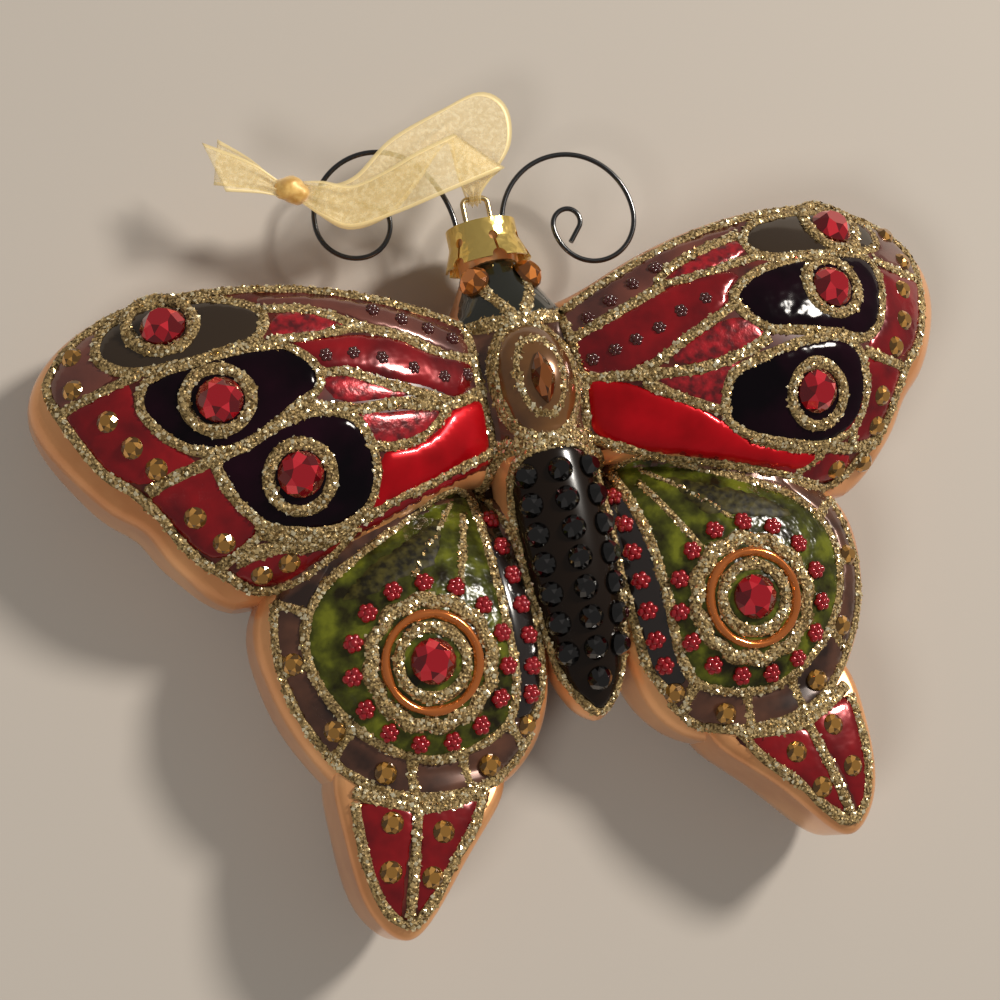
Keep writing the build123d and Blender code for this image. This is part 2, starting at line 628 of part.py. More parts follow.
# Marquise stone on the thorax
thorax_share = (MARQUISE_PLACE - THORAX_CENTRE) / THORAX_HALF_LENGTH
thorax_top = THORAX_AXIS + THORAX_RADIUS * sqrt(1 - thorax_share**2)
with BuildPart() as thorax_stone:
    with BuildSketch(Plane((0, MARQUISE_PLACE, thorax_top + GLUE))) as marquise:
        with BuildLine():
            tip = (0, MARQUISE_LENGTH / 2)
            heel = (0, -MARQUISE_LENGTH / 2)
            ThreePointArc(heel, (MARQUISE_WIDTH / 2, 0), tip)
            ThreePointArc(tip, (-MARQUISE_WIDTH / 2, 0), heel)
        make_face()
    extrude(amount=MARQUISE_HEIGHT * GIRDLE_SHARE)
    crown_foot = thorax_stone.faces().sort_by(Axis.Z)[-1]
    extrude(crown_foot, amount=MARQUISE_HEIGHT * (1 - GIRDLE_SHARE), taper=35)
save(thorax_stone.part, "thorax_stone")

# Crown cap: a cup over the neck with a scalloped, keyholed hem
cap_top = NECK_END + CAP_TOP_THICKNESS
cap_inside = NECK_RADIUS + CAP_CLEARANCE
cap_outside = cap_inside + CAP_WALL
cap_hem = NECK_END - CAP_SKIRT
cap_bend = cap_hem + CAP_FLARE_LENGTH
cap_plane = Plane(origin=(0, cap_hem, NECK_AXIS), x_dir=(1, 0, 0), z_dir=(0, 1, 0))
with BuildPart() as crown_cap:
    with BuildSketch(Plane.XY.offset(NECK_AXIS)):
        with BuildLine():
            Polyline(
                (0, NECK_END),
                (cap_inside, NECK_END),
                (cap_inside, cap_bend),
                (cap_inside + CAP_FLARE, cap_hem),
                (cap_outside + CAP_FLARE, cap_hem),
                (cap_outside, cap_bend),
                (cap_outside, cap_top),
                (0, cap_top),
                close=True,
            )
        make_face()
    revolve(axis=Axis((0, 0, NECK_AXIS), (0, 1, 0)))
    with Locations(cap_plane):
        with PolarLocations(cap_outside, CAP_SLOTS, start_angle=30):
            with Locations((0, 0, CAP_FLARE_LENGTH)):
                Cylinder(KEYHOLE / 2, cap_outside, rotation=(0, 90, 0), mode=Mode.SUBTRACT)
            Box(
                cap_outside,
                SLIT,
                CAP_FLARE_LENGTH,
                align=(Align.CENTER, Align.CENTER, Align.MIN),
                mode=Mode.SUBTRACT,
            )
            Cylinder(NOTCH / 2, cap_outside, rotation=(0, 90, 0), mode=Mode.SUBTRACT)
    for place, width in (
        (LOOP_HALF_WIDTH, WIRE + 2 * WIRE_CLEARANCE),
        (ANTENNA_FOOT, ANTENNA_WIRE + 2 * ANTENNA_CLEARANCE),
    ):
        with Locations(Location((0, NECK_END + CAP_TOP_THICKNESS / 2, NECK_AXIS), (90, 0, 0))):
            with Locations((-place, 0), (place, 0)):
                Cylinder(width / 2, 2 * CAP_TOP_THICKNESS, mode=Mode.SUBTRACT)
save(crown_cap.part, "crown_cap")

# Hanger: a sprung wire whose legs grip the neck's bore
bar_place = cap_top + LOOP_REACH
leg_place = NECK_RADIUS - WALL - LEG_GAP - WIRE / 2
with BuildPart() as hanger_wire:
    with BuildLine(Plane.XY.offset(NECK_AXIS)) as hanger_path:
        FilletPolyline(
            (-leg_place, NECK_END - LEG_DEPTH),
            (-LOOP_HALF_WIDTH, NECK_END),
            (-LOOP_HALF_WIDTH, bar_place),
            (LOOP_HALF_WIDTH, bar_place),
            (LOOP_HALF_WIDTH, NECK_END),
            (leg_place, NECK_END - LEG_DEPTH),
            radius=LOOP_CORNER,
        )
    with BuildSketch(Plane(origin=hanger_path.line @ 0, z_dir=hanger_path.line % 0)):
        Circle(WIRE / 2)
    sweep()
save(hanger_wire.part, "hanger_wire")

# Antennae: wires that stand in the cap and curl in
foot_axis = Axis((-ANTENNA_FOOT, NECK_END, NECK_AXIS), (0, 1, 0))
save(wire_curl(-ANTENNA_FOOT, LEFT_ARCS).rotate(foot_axis, -LEFT_DROOP), "left_antenna")
save(wire_curl(ANTENNA_FOOT, RIGHT_ARCS), "right_antenna")

# Ribbon: a bight round the hanger's bar, two bands to the knot and two loose ends
bight_inside = WIRE / 2 + BIGHT_GAP
bight_middle = bight_inside + RIBBON_SOLID / 2
front_start = (
    (-BIGHT_WIDTH / 2, bar_place, NECK_AXIS + bight_middle),
    (BIGHT_WIDTH / 2, bar_place, NECK_AXIS + bight_middle),
    (0, 0, 1),
)
back_start = (
    (-BIGHT_WIDTH / 2, bar_place, NECK_AXIS - bight_middle),
    (BIGHT_WIDTH / 2, bar_place, NECK_AXIS - bight_middle),
    (0, 0, 1),
)
knot_outline = [
    (KNOT_LENGTH / 2 * sin(radians(angle)), KNOT_WIDTH / 2 * cos(radians(angle))) for angle in KNOT_ANGLES
]
knot_plane = Plane(
    origin=KNOT_CENTRE, x_dir=(cos(radians(KNOT_TURN)), sin(radians(KNOT_TURN)), 0), z_dir=(0, 0, 1)
)
with BuildPart() as hanging_ribbon:
    with BuildSketch(Plane.YZ.offset(-BIGHT_WIDTH / 2)):
        with Locations((bar_place, NECK_AXIS)):
            Circle(bight_inside + RIBBON_SOLID)
            Circle(bight_inside, mode=Mode.SUBTRACT)
        with Locations((bar_place, NECK_AXIS)):
            Rectangle(
                2 * bight_inside + 2 * RIBBON_SOLID,
                2 * bight_inside + 2 * RIBBON_SOLID,
                align=(Align.MIN, Align.CENTER),
                mode=Mode.SUBTRACT,
            )
    extrude(amount=BIGHT_WIDTH)
    add(band([front_start] + FRONT_BAND))
    add(band([back_start] + BACK_BAND))
    add(band(FRONT_END))
    add(band(BACK_END))
    with BuildSketch(knot_plane):
        with BuildLine():
            Spline(*knot_outline)
            Polyline(knot_outline[-1], (knot_outline[-1][0], 0), (knot_outline[0][0], 0), knot_outline[0])
        make_face()
    revolve(axis=Axis(KNOT_CENTRE, knot_plane.x_dir))
save(hanging_ribbon.part, "hanging_ribbon")
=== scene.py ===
"""Looks of the blown-glass butterfly ornament: lacquer, enamel panels, glitter lines, stones and ribbon.

Pattern places are millimetres on the painted front, x to the right wing and y to the head, and are
laid on the glass by the height of its front. Everything is written to meshes in metres.
"""
import math

import bpy
import numpy as np
from mathutils import Matrix, Vector, geometry
from mathutils.bvhtree import BVHTree


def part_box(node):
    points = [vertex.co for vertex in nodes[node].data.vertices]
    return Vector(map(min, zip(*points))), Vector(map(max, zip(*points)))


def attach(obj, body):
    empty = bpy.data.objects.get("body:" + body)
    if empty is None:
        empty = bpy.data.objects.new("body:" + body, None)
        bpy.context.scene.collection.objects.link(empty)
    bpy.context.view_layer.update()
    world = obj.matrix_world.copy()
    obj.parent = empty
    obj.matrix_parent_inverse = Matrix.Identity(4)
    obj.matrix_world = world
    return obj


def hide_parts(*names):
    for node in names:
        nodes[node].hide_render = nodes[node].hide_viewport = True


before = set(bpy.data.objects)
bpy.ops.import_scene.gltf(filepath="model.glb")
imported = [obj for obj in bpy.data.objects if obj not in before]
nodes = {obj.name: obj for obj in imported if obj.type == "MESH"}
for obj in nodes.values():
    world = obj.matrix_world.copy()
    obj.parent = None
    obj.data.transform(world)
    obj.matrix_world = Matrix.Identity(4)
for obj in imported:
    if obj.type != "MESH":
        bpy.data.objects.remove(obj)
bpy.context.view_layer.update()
seed = np.random.default_rng(11)

MM = 0.001
GRID_STEP = 0.4  # spacing of the height map
SMOOTH_PASSES = 3
FILL_PASSES = 8  # cells by which the height map is carried past the glass
EMPTY_HEIGHT = 8.0  # height beyond them
BAND_WIDTH = 1.75  # glitter lines
BAND_RISE = 0.55
RING_RADIUS = 4.45  # glitter ring round a red stone
RING_RISE = 1.1  # rings stand on the enamel
FLAKES_PER_MM2 = 2.6
FLAKE_SIZE = (0.2, 0.44)
PANEL_RISE = 0.4  # enamel stands proud of the glass
PANEL_ROLL = 1.8  # width over which it rounds down to its edge
PANEL_SPACING = 0.8
EDGE_CLEAR = 0.6  # spacings that a panel's inner points keep from its edge
GROUND = {"rise": 0.15, "roll": 0.8, "spacing": 1.2}  # thin paint under the panels
SUNK = 0.25  # how far a laid piece reaches into the glass
CURVE_STEPS = 24  # fine steps between two given points of a curve
LINE_STEP = 0.7  # spacing of the points along a glitter line
BAND_WOBBLE = 0.14  # share by which a glitter line's width varies
FLAKE_SWAY = 0.6  # how far flakes stray along their line
FLAKE_LIFT = 0.04
FLAKE_LEAN = 0.5  # how much flakes follow the round of their line
FLAKE_TILT = 0.38  # spread of their loose tilt
FLAKE_HALF = 0.06  # half of a flake's thickness
DOT_RADIUS = 0.95
BEAD_RADIUS = 1.3
BEAD_SPREAD = 0.62  # places and sizes of a cluster's beads, as shares of its radius
MIDDLE_BEAD = {"size": 0.56, "lift": 0.6}
OUTER_BEAD = {"size": 0.5, "lift": 0.45}
BEAD_VARIES = (0.85, 1.15)
# Shares of a stone's colour for its crown, for its facets with painted shade and for its facets with
# painted glints
STONE_LIT_AND_SHADED_TONES = {"crown": 1.0, "painted_shade": 0.36, "bright": 1.9}
# a little painted light added to the facets with painted glints
PAINTED_GLINT_LIFT = 0.02
SIDES = ("left", "right")


# Height of the glass front

def front_heights():
    """Heights in mm of the glass front on a regular grid, with the grid's first x and y."""
    mesh = nodes["glass_shell"].data
    tree = BVHTree.FromPolygons([v.co for v in mesh.vertices], [p.vertices[:] for p in mesh.polygons])
    low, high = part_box("glass_shell")
    xs = np.arange(low.x / MM - 1, high.x / MM + 1, GRID_STEP)
    ys = np.arange(low.y / MM - 1, high.y / MM + 1, GRID_STEP)
    start = high.z + 0.01
    down = Vector((0, 0, -1))
    heights = np.zeros((len(ys), len(xs)))
    for row, y in enumerate(ys):
        for column, x in enumerate(xs):
            hit = tree.ray_cast(Vector((x * MM, y * MM, start)), down)[0]
            heights[row, column] = hit.z / MM if hit else np.nan
    return xs[0], ys[0], smoothed(filled(heights))


def neighbours(heights, **padding):
    """The four grids of the cells beside each cell."""
    padded = np.pad(heights, 1, **padding)
    return padded[1:-1, :-2], padded[1:-1, 2:], padded[:-2, 1:-1], padded[2:, 1:-1]


def filled(heights):
    """The grid with its empty cells taken from their nearest neighbours, a few cells out."""
    for _ in range(FILL_PASSES):
        empty = np.isnan(heights)
        around = np.stack(neighbours(heights, constant_values=np.nan))
        count = (~np.isnan(around)).sum(0)
        total = np.nansum(around, 0)
        heights = np.where(empty & (count > 0), total / np.maximum(count, 1), heights)
    return np.nan_to_num(heights, nan=EMPTY_HEIGHT)


def smoothed(heights):
    """The grid after a few passes of a small blur, which takes out the facets."""
    for _ in range(SMOOTH_PASSES):
        heights = 0.5 * heights + 0.125 * sum(neighbours(heights, mode="edge"))
    return heights


grid_x, grid_y, grid_heights = front_heights()


def height_at(places):
    """Height of the front in mm at each x and y."""
    column = np.clip((places[:, 0] - grid_x) / GRID_STEP, 0, grid_heights.shape[1] - 1.001)
    row = np.clip((places[:, 1] - grid_y) / GRID_STEP, 0, grid_heights.shape[0] - 1.001)
    c = column.astype(int)
    r = row.astype(int)
    u = column - c
    v = row - r
    lower = grid_heights[r, c] * (1 - u) + grid_heights[r, c + 1] * u
    upper = grid_heights[r + 1, c] * (1 - u) + grid_heights[r + 1, c + 1] * u
    return lower * (1 - v) + upper * v


def on_front(places):
    """Points on the front and their normals, in mm."""
    places = np.asarray(places, float)
    reach = GRID_STEP
    slope_x = (height_at(places + (reach, 0)) - height_at(places - (reach, 0))) / (2 * reach)
    slope_y = (height_at(places + (0, reach)) - height_at(places - (0, reach))) / (2 * reach)
    normals = np.column_stack([-slope_x, -slope_y, np.ones(len(places))])
    normals /= np.linalg.norm(normals, axis=1)[:, None]
    return np.column_stack([places, height_at(places)]), normals


# Mesh helpers

def add_mesh(name, points, faces, materials, indices=None, smooth=True):
    """A mesh object from points in mm."""
    mesh = bpy.data.meshes.new(name)
    mesh.from_pydata([tuple(p) for p in np.asarray(points) * MM], [], [list(map(int, f)) for f in faces])
    for material in materials:
        mesh.materials.append(material)
    if indices is not None:
        mesh.polygons.foreach_set("material_index", np.asarray(indices, dtype=np.int32))
    shade = np.full(len(mesh.polygons), smooth) if np.isscalar(smooth) else np.asarray(smooth)
    mesh.polygons.foreach_set("use_smooth", shade.astype(bool))
    mesh.update()
    thing = bpy.data.objects.new(name, mesh)
    bpy.context.scene.collection.objects.link(thing)
    return thing


def merged(parts):
    """Points and faces of several parts as one mesh."""
    points, faces = [], []
    start = 0
    for part_points, part_faces in parts:
        points.append(part_points)
        faces += [[i + start for i in face] for face in part_faces]
        start += len(part_points)
    return np.vstack(points), faces


def painted(name, parts, material):
    """One painted object on the glass, of parts in one material."""
    thing = add_mesh(name, *merged(parts), [material])
    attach(thing, "ornament")


def smooth_line(points, closed, step):
    """Evenly spaced points on a smooth curve through the given ones."""
    points = np.asarray(points, float)
    if closed:
        padded = np.vstack([points[-1], points, points[:2]])
    else:
        padded = np.vstack([2 * points[0] - points[1], points, 2 * points[-1] - points[-2]])
    share = np.linspace(0, 1, CURVE_STEPS, endpoint=False)[:, None]
    runs = []
    for a, b, c, d in zip(padded, padded[1:], padded[2:], padded[3:]):
        runs.append(
            0.5 * (2 * b + (c - a) * share + (2 * a - 5 * b + 4 * c - d) * share**2
                   + (3 * b - a - 3 * c + d) * share**3)
        )
    fine = np.vstack(runs + [points[:1] if closed else points[-1:]])
    along = np.concatenate([[0], np.cumsum(np.linalg.norm(np.diff(fine, axis=0), axis=1))])
    count = max(4, int(round(along[-1] / step)))
    wanted = np.linspace(0, along[-1], count + 1)
    line = np.column_stack([np.interp(wanted, along, fine[:, k]) for k in range(fine.shape[1])])
    return line[:-1] if closed else line


def circle(centre, radius, count=24, start=0.0):
    """Points of a circle, from a start in radians; the radius may differ at each point."""
    turns = np.linspace(0, 2 * np.pi, count, endpoint=False) + start
    return np.column_stack([centre[0] + radius * np.cos(turns), centre[1] + radius * np.sin(turns)])


def inside(places, outline):
    """Which places are inside a closed outline."""
    x, y = places[:, 0], places[:, 1]
    odd = np.zeros(len(places), bool)
    for (x1, y1), (x2, y2) in zip(outline, np.roll(outline, -1, axis=0)):
        crosses = (y1 > y) != (y2 > y)
        with np.errstate(divide="ignore", invalid="ignore"):
            odd ^= crosses & (x < (x2 - x1) * (y - y1) / (y2 - y1) + x1)
    return odd


def sided(points, side):
    """Places given for the right side, mirrored where the side is the left."""
    sign = -1 if side == "left" else 1
    return [(sign * x, y) for x, y in points]


def opened(lines):
    """Open lines for glitter, from their points and shares of the width."""
    return [(points, False, share) for points, share in lines]


def sided_lines(lines, side):
    """Open lines for glitter, given for the right side."""
    return opened([(sided(points, side), share) for points, share in lines])


# Enamel panels

def panel_parts(outline, rise, roll, spacing):
    """Points and faces of a low pillow of enamel inside a closed outline."""
    edge = smooth_line(outline, True, spacing)
    low, high = edge.min(0), edge.max(0)
    xs = np.arange(low[0], high[0], spacing)
    ys = np.arange(low[1], high[1], spacing)
    grid = np.stack(np.meshgrid(xs, ys), -1).reshape(-1, 2)
    grid = grid[inside(grid, edge)]
    reach = np.linalg.norm(grid[:, None] - edge[None], axis=2).min(1)
    grid = grid[reach > EDGE_CLEAR * spacing]
    flat = np.vstack([edge, grid])
    ring = [list(range(len(edge)))]
    places, _, faces, *_ = geometry.delaunay_2d_cdt([Vector(p) for p in flat], [], ring, 1, 1e-6)
    places = np.array([tuple(p) for p in places])
    distance = np.linalg.norm(places[:, None] - edge[None], axis=2).min(1)
    share = np.clip(distance / roll, 0, 1)
    points, normals = on_front(places)
    lift = rise * np.sqrt(1 - (1 - share) ** 2)
    top = points + normals * lift[:, None]
    bottom = points - normals * SUNK
    count = len(places)
    directed = {}
    for face in faces:
        for a, b in zip(face, list(face[1:]) + [face[0]]):
            directed[(a, b)] = True
    sides = [(b, a, a + count, b + count) for a, b in directed if (b, a) not in directed]
    below = [[i + count for i in reversed(face)] for face in faces]
    return np.vstack([top, bottom]), [list(f) for f in faces] + below + sides


def panels(name, outlines, material, rise=PANEL_RISE, roll=PANEL_ROLL, spacing=PANEL_SPACING):
    """One object with a pillow of enamel in each outline."""
    painted(name, [panel_parts(outline, rise, roll, spacing) for outline in outlines], material)


# Glitter lines

def band_parts(line, closed, width, rise):
    """Points and faces of a raised half-round line, and the places for its flakes."""
    points, normals = on_front(line)
    ahead = np.roll(points, -1, 0) - np.roll(points, 1, 0)
    if not closed:
        ahead[0] = points[1] - points[0]
        ahead[-1] = points[-1] - points[-2]
    across = np.cross(ahead, normals)
    across /= np.linalg.norm(across, axis=1)[:, None]
    wobble = seed.normal(0, 1, len(line))
    wobble = (np.roll(wobble, 1) + wobble + np.roll(wobble, -1)) / 3
    half = width / 2 * (1 + BAND_WOBBLE * wobble)
    angles = np.radians([0, 35, 70, 110, 145, 180])
    rows = [across * (half * np.cos(a))[:, None] + normals * rise * np.sin(a) for a in angles]
    rows.append(-across * half[:, None] - normals * SUNK)
    rows.append(across * half[:, None] - normals * SUNK)
    loop = len(rows)
    mesh_points = np.stack([points + row for row in rows], 1).reshape(-1, 3)
    faces = []
    last = len(line) if closed else len(line) - 1
    for i in range(last):
        j = (i + 1) % len(line)
        for k in range(loop):
            m = (k + 1) % loop
            faces.append((i * loop + k, i * loop + m, j * loop + m, j * loop + k))
    if not closed:
        faces.append(tuple(reversed(range(loop))))
        faces.append(tuple(range((len(line) - 1) * loop, len(line) * loop)))
    return mesh_points, faces, (points, normals, across, half)


def flake_parts(spots, length, width, rise):
    """Points and faces of small tilted flakes scattered over a glitter line."""
    points, normals, across, half = spots
    count = int(length * width * FLAKES_PER_MM2)
    at = seed.integers(0, len(points), count)
    side = seed.uniform(-1, 1, count)
    sway = seed.uniform(-0.5, 0.5, (count, 1)) * FLAKE_SWAY
    along = np.cross(normals[at], across[at])
    centre = points[at] + across[at] * (side * half[at])[:, None] + along * sway
    centre += normals[at] * (rise * np.sqrt(np.clip(1 - side**2, 0, 1)) + FLAKE_LIFT)[:, None]
    facing = normals[at] + across[at] * side[:, None] * FLAKE_LEAN + seed.normal(0, FLAKE_TILT, (count, 3))
    facing /= np.linalg.norm(facing, axis=1)[:, None]
    spin = seed.normal(0, 1, (count, 3))
    first = np.cross(facing, spin)
    first /= np.linalg.norm(first, axis=1)[:, None]
    second = np.cross(facing, first)
    size = seed.uniform(*FLAKE_SIZE, (count, 1))
    corners = [first * size, second * size, -first * size, -second * size]
    corners += [facing * FLAKE_HALF, -facing * FLAKE_HALF]
    flake_points = np.stack([centre + corner for corner in corners], 1).reshape(-1, 3)
    pattern = [(0, 1, 4), (1, 2, 4), (2, 3, 4), (3, 0, 4), (1, 0, 5), (2, 1, 5), (3, 2, 5), (0, 3, 5)]
    faces = (np.arange(count)[:, None, None] * 6 + np.array(pattern)[None]).reshape(-1, 3)
    return flake_points, faces


def glitter(name, lines, width=BAND_WIDTH, rise=BAND_RISE):
    """One object of glitter lines; each line is its points, whether it closes, and a share of the width."""
    parts, kinds = [], []
    for line_points, closed, share in lines:
        line = smooth_line(line_points, closed, LINE_STEP)
        band_points, band_faces, spots = band_parts(line, closed, width * share, rise)
        flake_points, flake_faces = flake_parts(spots, len(line) * LINE_STEP, width * share, rise)
        parts += [(band_points, band_faces), (flake_points, flake_faces)]
        kinds += [0] * len(band_faces) + [1] * len(flake_faces)
    shades = [kind == 0 for kind in kinds]
    thing = add_mesh(name, *merged(parts), [glitter_paste, glitter_flake], kinds, shades)
    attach(thing, "ornament")
    return thing


# Materials

def shader_of(material):
    """The Principled shader of a material."""
    return material.node_tree.nodes["Principled BSDF"]


def principled(name, colour, roughness, coat=None, **inputs):
    """A material with one Principled shader; a coat is its weight and its roughness."""
    if coat:
        inputs.update(coat_weight=coat[0], coat_roughness=coat[1])
    material = bpy.data.materials.new(name)
    material.use_nodes = True
    shader = shader_of(material)
    shader.inputs["Base Color"].default_value = (*colour, 1)
    shader.inputs["Roughness"].default_value = roughness
    for key, value in inputs.items():
        shader.inputs[key.replace("_", " ").title().replace("Ior", "IOR")].default_value = value
    return material


def link_ramp(material, source, stops):
    """Base colour from a value, through a ramp of places and colours."""
    tree = material.node_tree
    ramp = tree.nodes.new("ShaderNodeValToRGB")
    for at, _ in stops[2:]:
        ramp.color_ramp.elements.new(at)
    for element, (at, colour) in zip(ramp.color_ramp.elements, sorted(stops)):
        element.position = at
        element.color = (*colour, 1)
    tree.links.new(source, ramp.inputs["Fac"])
    tree.links.new(ramp.outputs["Color"], shader_of(material).inputs["Base Color"])


def link_texture(material, kind, scale):
    """A texture node in object space."""
    tree = material.node_tree
    place = tree.nodes.new("ShaderNodeTexCoord")
    texture = tree.nodes.new(f"ShaderNodeTex{kind}")
    texture.inputs["Scale"].default_value = scale
    tree.links.new(place.outputs["Object"], texture.inputs["Vector"])
    return texture


def link_noise(material, scale, stops, detail=3.0):
    """Base colour from a noise, through a ramp of places and colours."""
    noise = link_texture(material, "Noise", scale)
    noise.inputs["Detail"].default_value = detail
    link_ramp(material, noise.outputs[0], stops)


def link_bump(material, kind, scale, distance, strength):
    """Fine relief from a texture; distance is in metres."""
    texture = link_texture(material, kind, scale)
    tree = material.node_tree
    bump = tree.nodes.new("ShaderNodeBump")
    bump.inputs["Distance"].default_value = distance
    bump.inputs["Strength"].default_value = strength
    tree.links.new(texture.outputs[0], bump.inputs["Height"])
    tree.links.new(bump.outputs["Normal"], shader_of(material).inputs["Normal"])


def island_colours(material, stops):
    """A colour for each loose flake, from a ramp."""
    facts = material.node_tree.nodes.new("ShaderNodeNewGeometry")
    link_ramp(material, facts.outputs["Random Per Island"], stops)


lacquer = principled("copper_lacquer", (0.50, 0.24, 0.12), 0.32, metallic=0.55, coat=(0.6, 0.12))
link_noise(lacquer, 70, [(0.3, (0.60, 0.24, 0.085)), (0.7, (0.88, 0.45, 0.19))])
glitter_paste = principled("glitter_paste", (0.42, 0.30, 0.13), 0.5, metallic=0.4)
link_noise(glitter_paste, 2600, [(0.38, (0.10, 0.06, 0.02)), (0.66, (0.56, 0.40, 0.17))], 2.0)
link_bump(glitter_paste, "Voronoi", 2200, 0.0004, 0.9)
glitter_flake = principled("glitter_flake", (0.8, 0.64, 0.36), 0.2, metallic=0.75)
island_colours(
    glitter_flake, [(0.0, (0.20, 0.11, 0.03)), (0.45, (0.78, 0.56, 0.25)), (1.0, (1.0, 0.92, 0.66))]
)
candy_red = principled(
    "candy_red_enamel", (0.46, 0.002, 0.008), 0.28, metallic=0.5, specular_ior_level=0.3, coat=(0.2, 0.03)
)
link_noise(candy_red, 140, [(0.3, (0.34, 0.001, 0.004)), (0.7, (0.62, 0.003, 0.010))])
deep_red = principled("deep_red_enamel", (0.16, 0.004, 0.006), 0.2, metallic=0.3, coat=(0.4, 0.03))
link_noise(deep_red, 160, [(0.3, (0.09, 0.001, 0.003)), (0.72, (0.30, 0.004, 0.008))])
link_bump(deep_red, "Noise", 260, 0.0005, 0.6)
beaded_red = principled("beaded_red_enamel", (0.30, 0.006, 0.012), 0.3, metallic=0.3, coat=(0.8, 0.1))
link_noise(beaded_red, 700, [(0.35, (0.09, 0.002, 0.004)), (0.65, (0.40, 0.006, 0.014))], 2.0)
link_bump(beaded_red, "Noise", 900, 0.0003, 0.5)
black_plum = principled("black_plum_enamel", (0.010, 0.002, 0.006), 0.1, specular_ior_level=0.15)
link_noise(black_plum, 90, [(0.4, (0.002, 0.001, 0.002)), (0.75, (0.012, 0.002, 0.006))])
link_bump(black_plum, "Noise", 210, 0.0006, 0.6)
wine_ground = principled("wine_ground", (0.06, 0.010, 0.007), 0.3)
link_noise(wine_ground, 300, [(0.35, (0.035, 0.006, 0.004)), (0.7, (0.12, 0.016, 0.010))])
olive_brown = principled("olive_brown_enamel", (0.030, 0.019, 0.011), 0.12)
mauve = principled("mauve_enamel", (0.13, 0.030, 0.022), 0.25, metallic=0.3, coat=(1.0, 0.06))
link_noise(mauve, 120, [(0.3, (0.07, 0.020, 0.015)), (0.7, (0.19, 0.052, 0.034))])
leaf_green = principled("leaf_green_enamel", (0.06, 0.07, 0.01), 0.2, specular_ior_level=0.28)
link_noise(
    leaf_green, 260,
    [(0.36, (0.012, 0.009, 0.003)), (0.68, (0.12, 0.130, 0.011)), (0.52, (0.044, 0.048, 0.006))], 4.0,
)
link_bump(leaf_green, "Noise", 420, 0.0006, 0.7)
dark_leaf = principled("dark_leaf_enamel", (0.03, 0.018, 0.006), 0.5, specular_ior_level=0.2)
link_noise(dark_leaf, 900, [(0.35, (0.010, 0.008, 0.003)), (0.7, (0.060, 0.050, 0.010))], 2.0)
link_bump(dark_leaf, "Voronoi", 1000, 0.00012, 0.5)
bark_brown = principled("bark_brown_enamel", (0.06, 0.026, 0.015), 0.22, metallic=0.3, coat=(0.6, 0.05))
link_noise(bark_brown, 130, [(0.35, (0.022, 0.010, 0.007)), (0.7, (0.17, 0.066, 0.036))])
dark_band = principled("dark_band_enamel", (0.008, 0.004, 0.003), 0.2, coat=(1.0, 0.05))
amber_glass = principled("amber_glass", (0.22, 0.085, 0.022), 0.2, metallic=0.35, coat=(1.0, 0.03))
link_noise(amber_glass, 150, [(0.3, (0.07, 0.026, 0.007)), (0.7, (0.19, 0.080, 0.020))])
head_glass = principled("head_glass", (0.010, 0.010, 0.005), 0.12, coat=(1.0, 0.02))
body_glass = principled(
    "abdomen_glass", (0.008, 0.004, 0.002), 0.2, specular_ior_level=0.25, coat=(0.15, 0.05)
)
orange_ring = principled("orange_lacquer", (0.62, 0.17, 0.03), 0.18, metallic=0.7, coat=(1.0, 0.03))


def cut_stone(name, colour):
    """Three tones of a foiled stone: its crown, its facets darkened as painted shade and its facets
    lightened as painted glints.
    """
    made = []
    for tone, share in STONE_LIT_AND_SHADED_TONES.items():
        # the glinting facets get a little painted light added to their colour
        glint_lift = PAINTED_GLINT_LIFT if tone == "bright" else 0.0
        shade = [min(share * c + glint_lift, 1.0) for c in colour]
        made.append(principled(f"{name}_{tone}", shade, 0.08, metallic=0.5, coat=(1.0, 0.02)))
    return made


ruby = cut_stone("ruby_stone", (0.42, 0.004, 0.014))
amber = cut_stone("amber_stone", (0.34, 0.165, 0.028))
brown_amber = cut_stone("brown_amber_stone", (0.24, 0.07, 0.010))
jet = cut_stone("jet_stone", (0.003, 0.002, 0.002))
topaz = cut_stone("topaz_stone", (0.48, 0.15, 0.02))
red_bead = principled("red_bead", (0.30, 0.003, 0.009), 0.16, metallic=0.3, coat=(1.0, 0.05))
dark_red_dot = principled("dark_red_dot", (0.05, 0.004, 0.004), 0.25, coat_weight=1.0)
gold_leaf = principled("gold_cap", (0.95, 0.68, 0.20), 0.24, metallic=0.9)
link_bump(gold_leaf, "Voronoi", 800, 0.00015, 0.8)
black_wire = principled("black_wire", (0.012, 0.012, 0.013), 0.25, metallic=0.4, coat=(1.0, 0.1))
bright_wire = principled("bright_wire", (0.70, 0.55, 0.30), 0.25, metallic=1.0)


# Forewing patterns: outlines and lines for the left and the right wing, which are painted by hand

UPPER_SPOT = {
    "left": [(-61.4, 13.7), (-59.1, 17.4), (-53.4, 19.3), (-46, 18.8), (-40.5, 16.8), (-38.2, 14.2),
             (-40.2, 10.9), (-45.2, 9.6), (-51.4, 9.1), (-57, 9.3), (-60.2, 11)],
    "right": [(36.8, 15), (40.1, 17.8), (45.7, 18.9), (51.4, 19.3), (57.2, 18.6), (61.2, 16.6), (62, 13.8),
              (60, 11.6), (53.4, 11.1), (47.3, 11.1), (40.6, 11.4), (37.6, 12.6)],
}
MIDDLE_SPOT = {
    "left": [(-57.5, 3.9), (-56, 7.4), (-51.4, 8.6), (-45.2, 9.2), (-40.6, 9.5), (-36.4, 8.8), (-33, 5.4),
             (-33.4, 2.1), (-37, 0.1), (-40.6, -2), (-45.2, -4), (-48.8, -4.2), (-52.4, -3), (-55.5, -0.2)],
    "right": [(31.8, 6), (34.9, 8.6), (39, 9.9), (45.7, 10.7), (52.4, 10.8), (57.2, 9.8), (58.4, 6.5),
              (57.4, 2.9), (55.2, -1.2), (51.4, -3), (46.8, -1.7), (41.1, -0.7), (35.9, 0.3), (32.9, 2.9)],
}
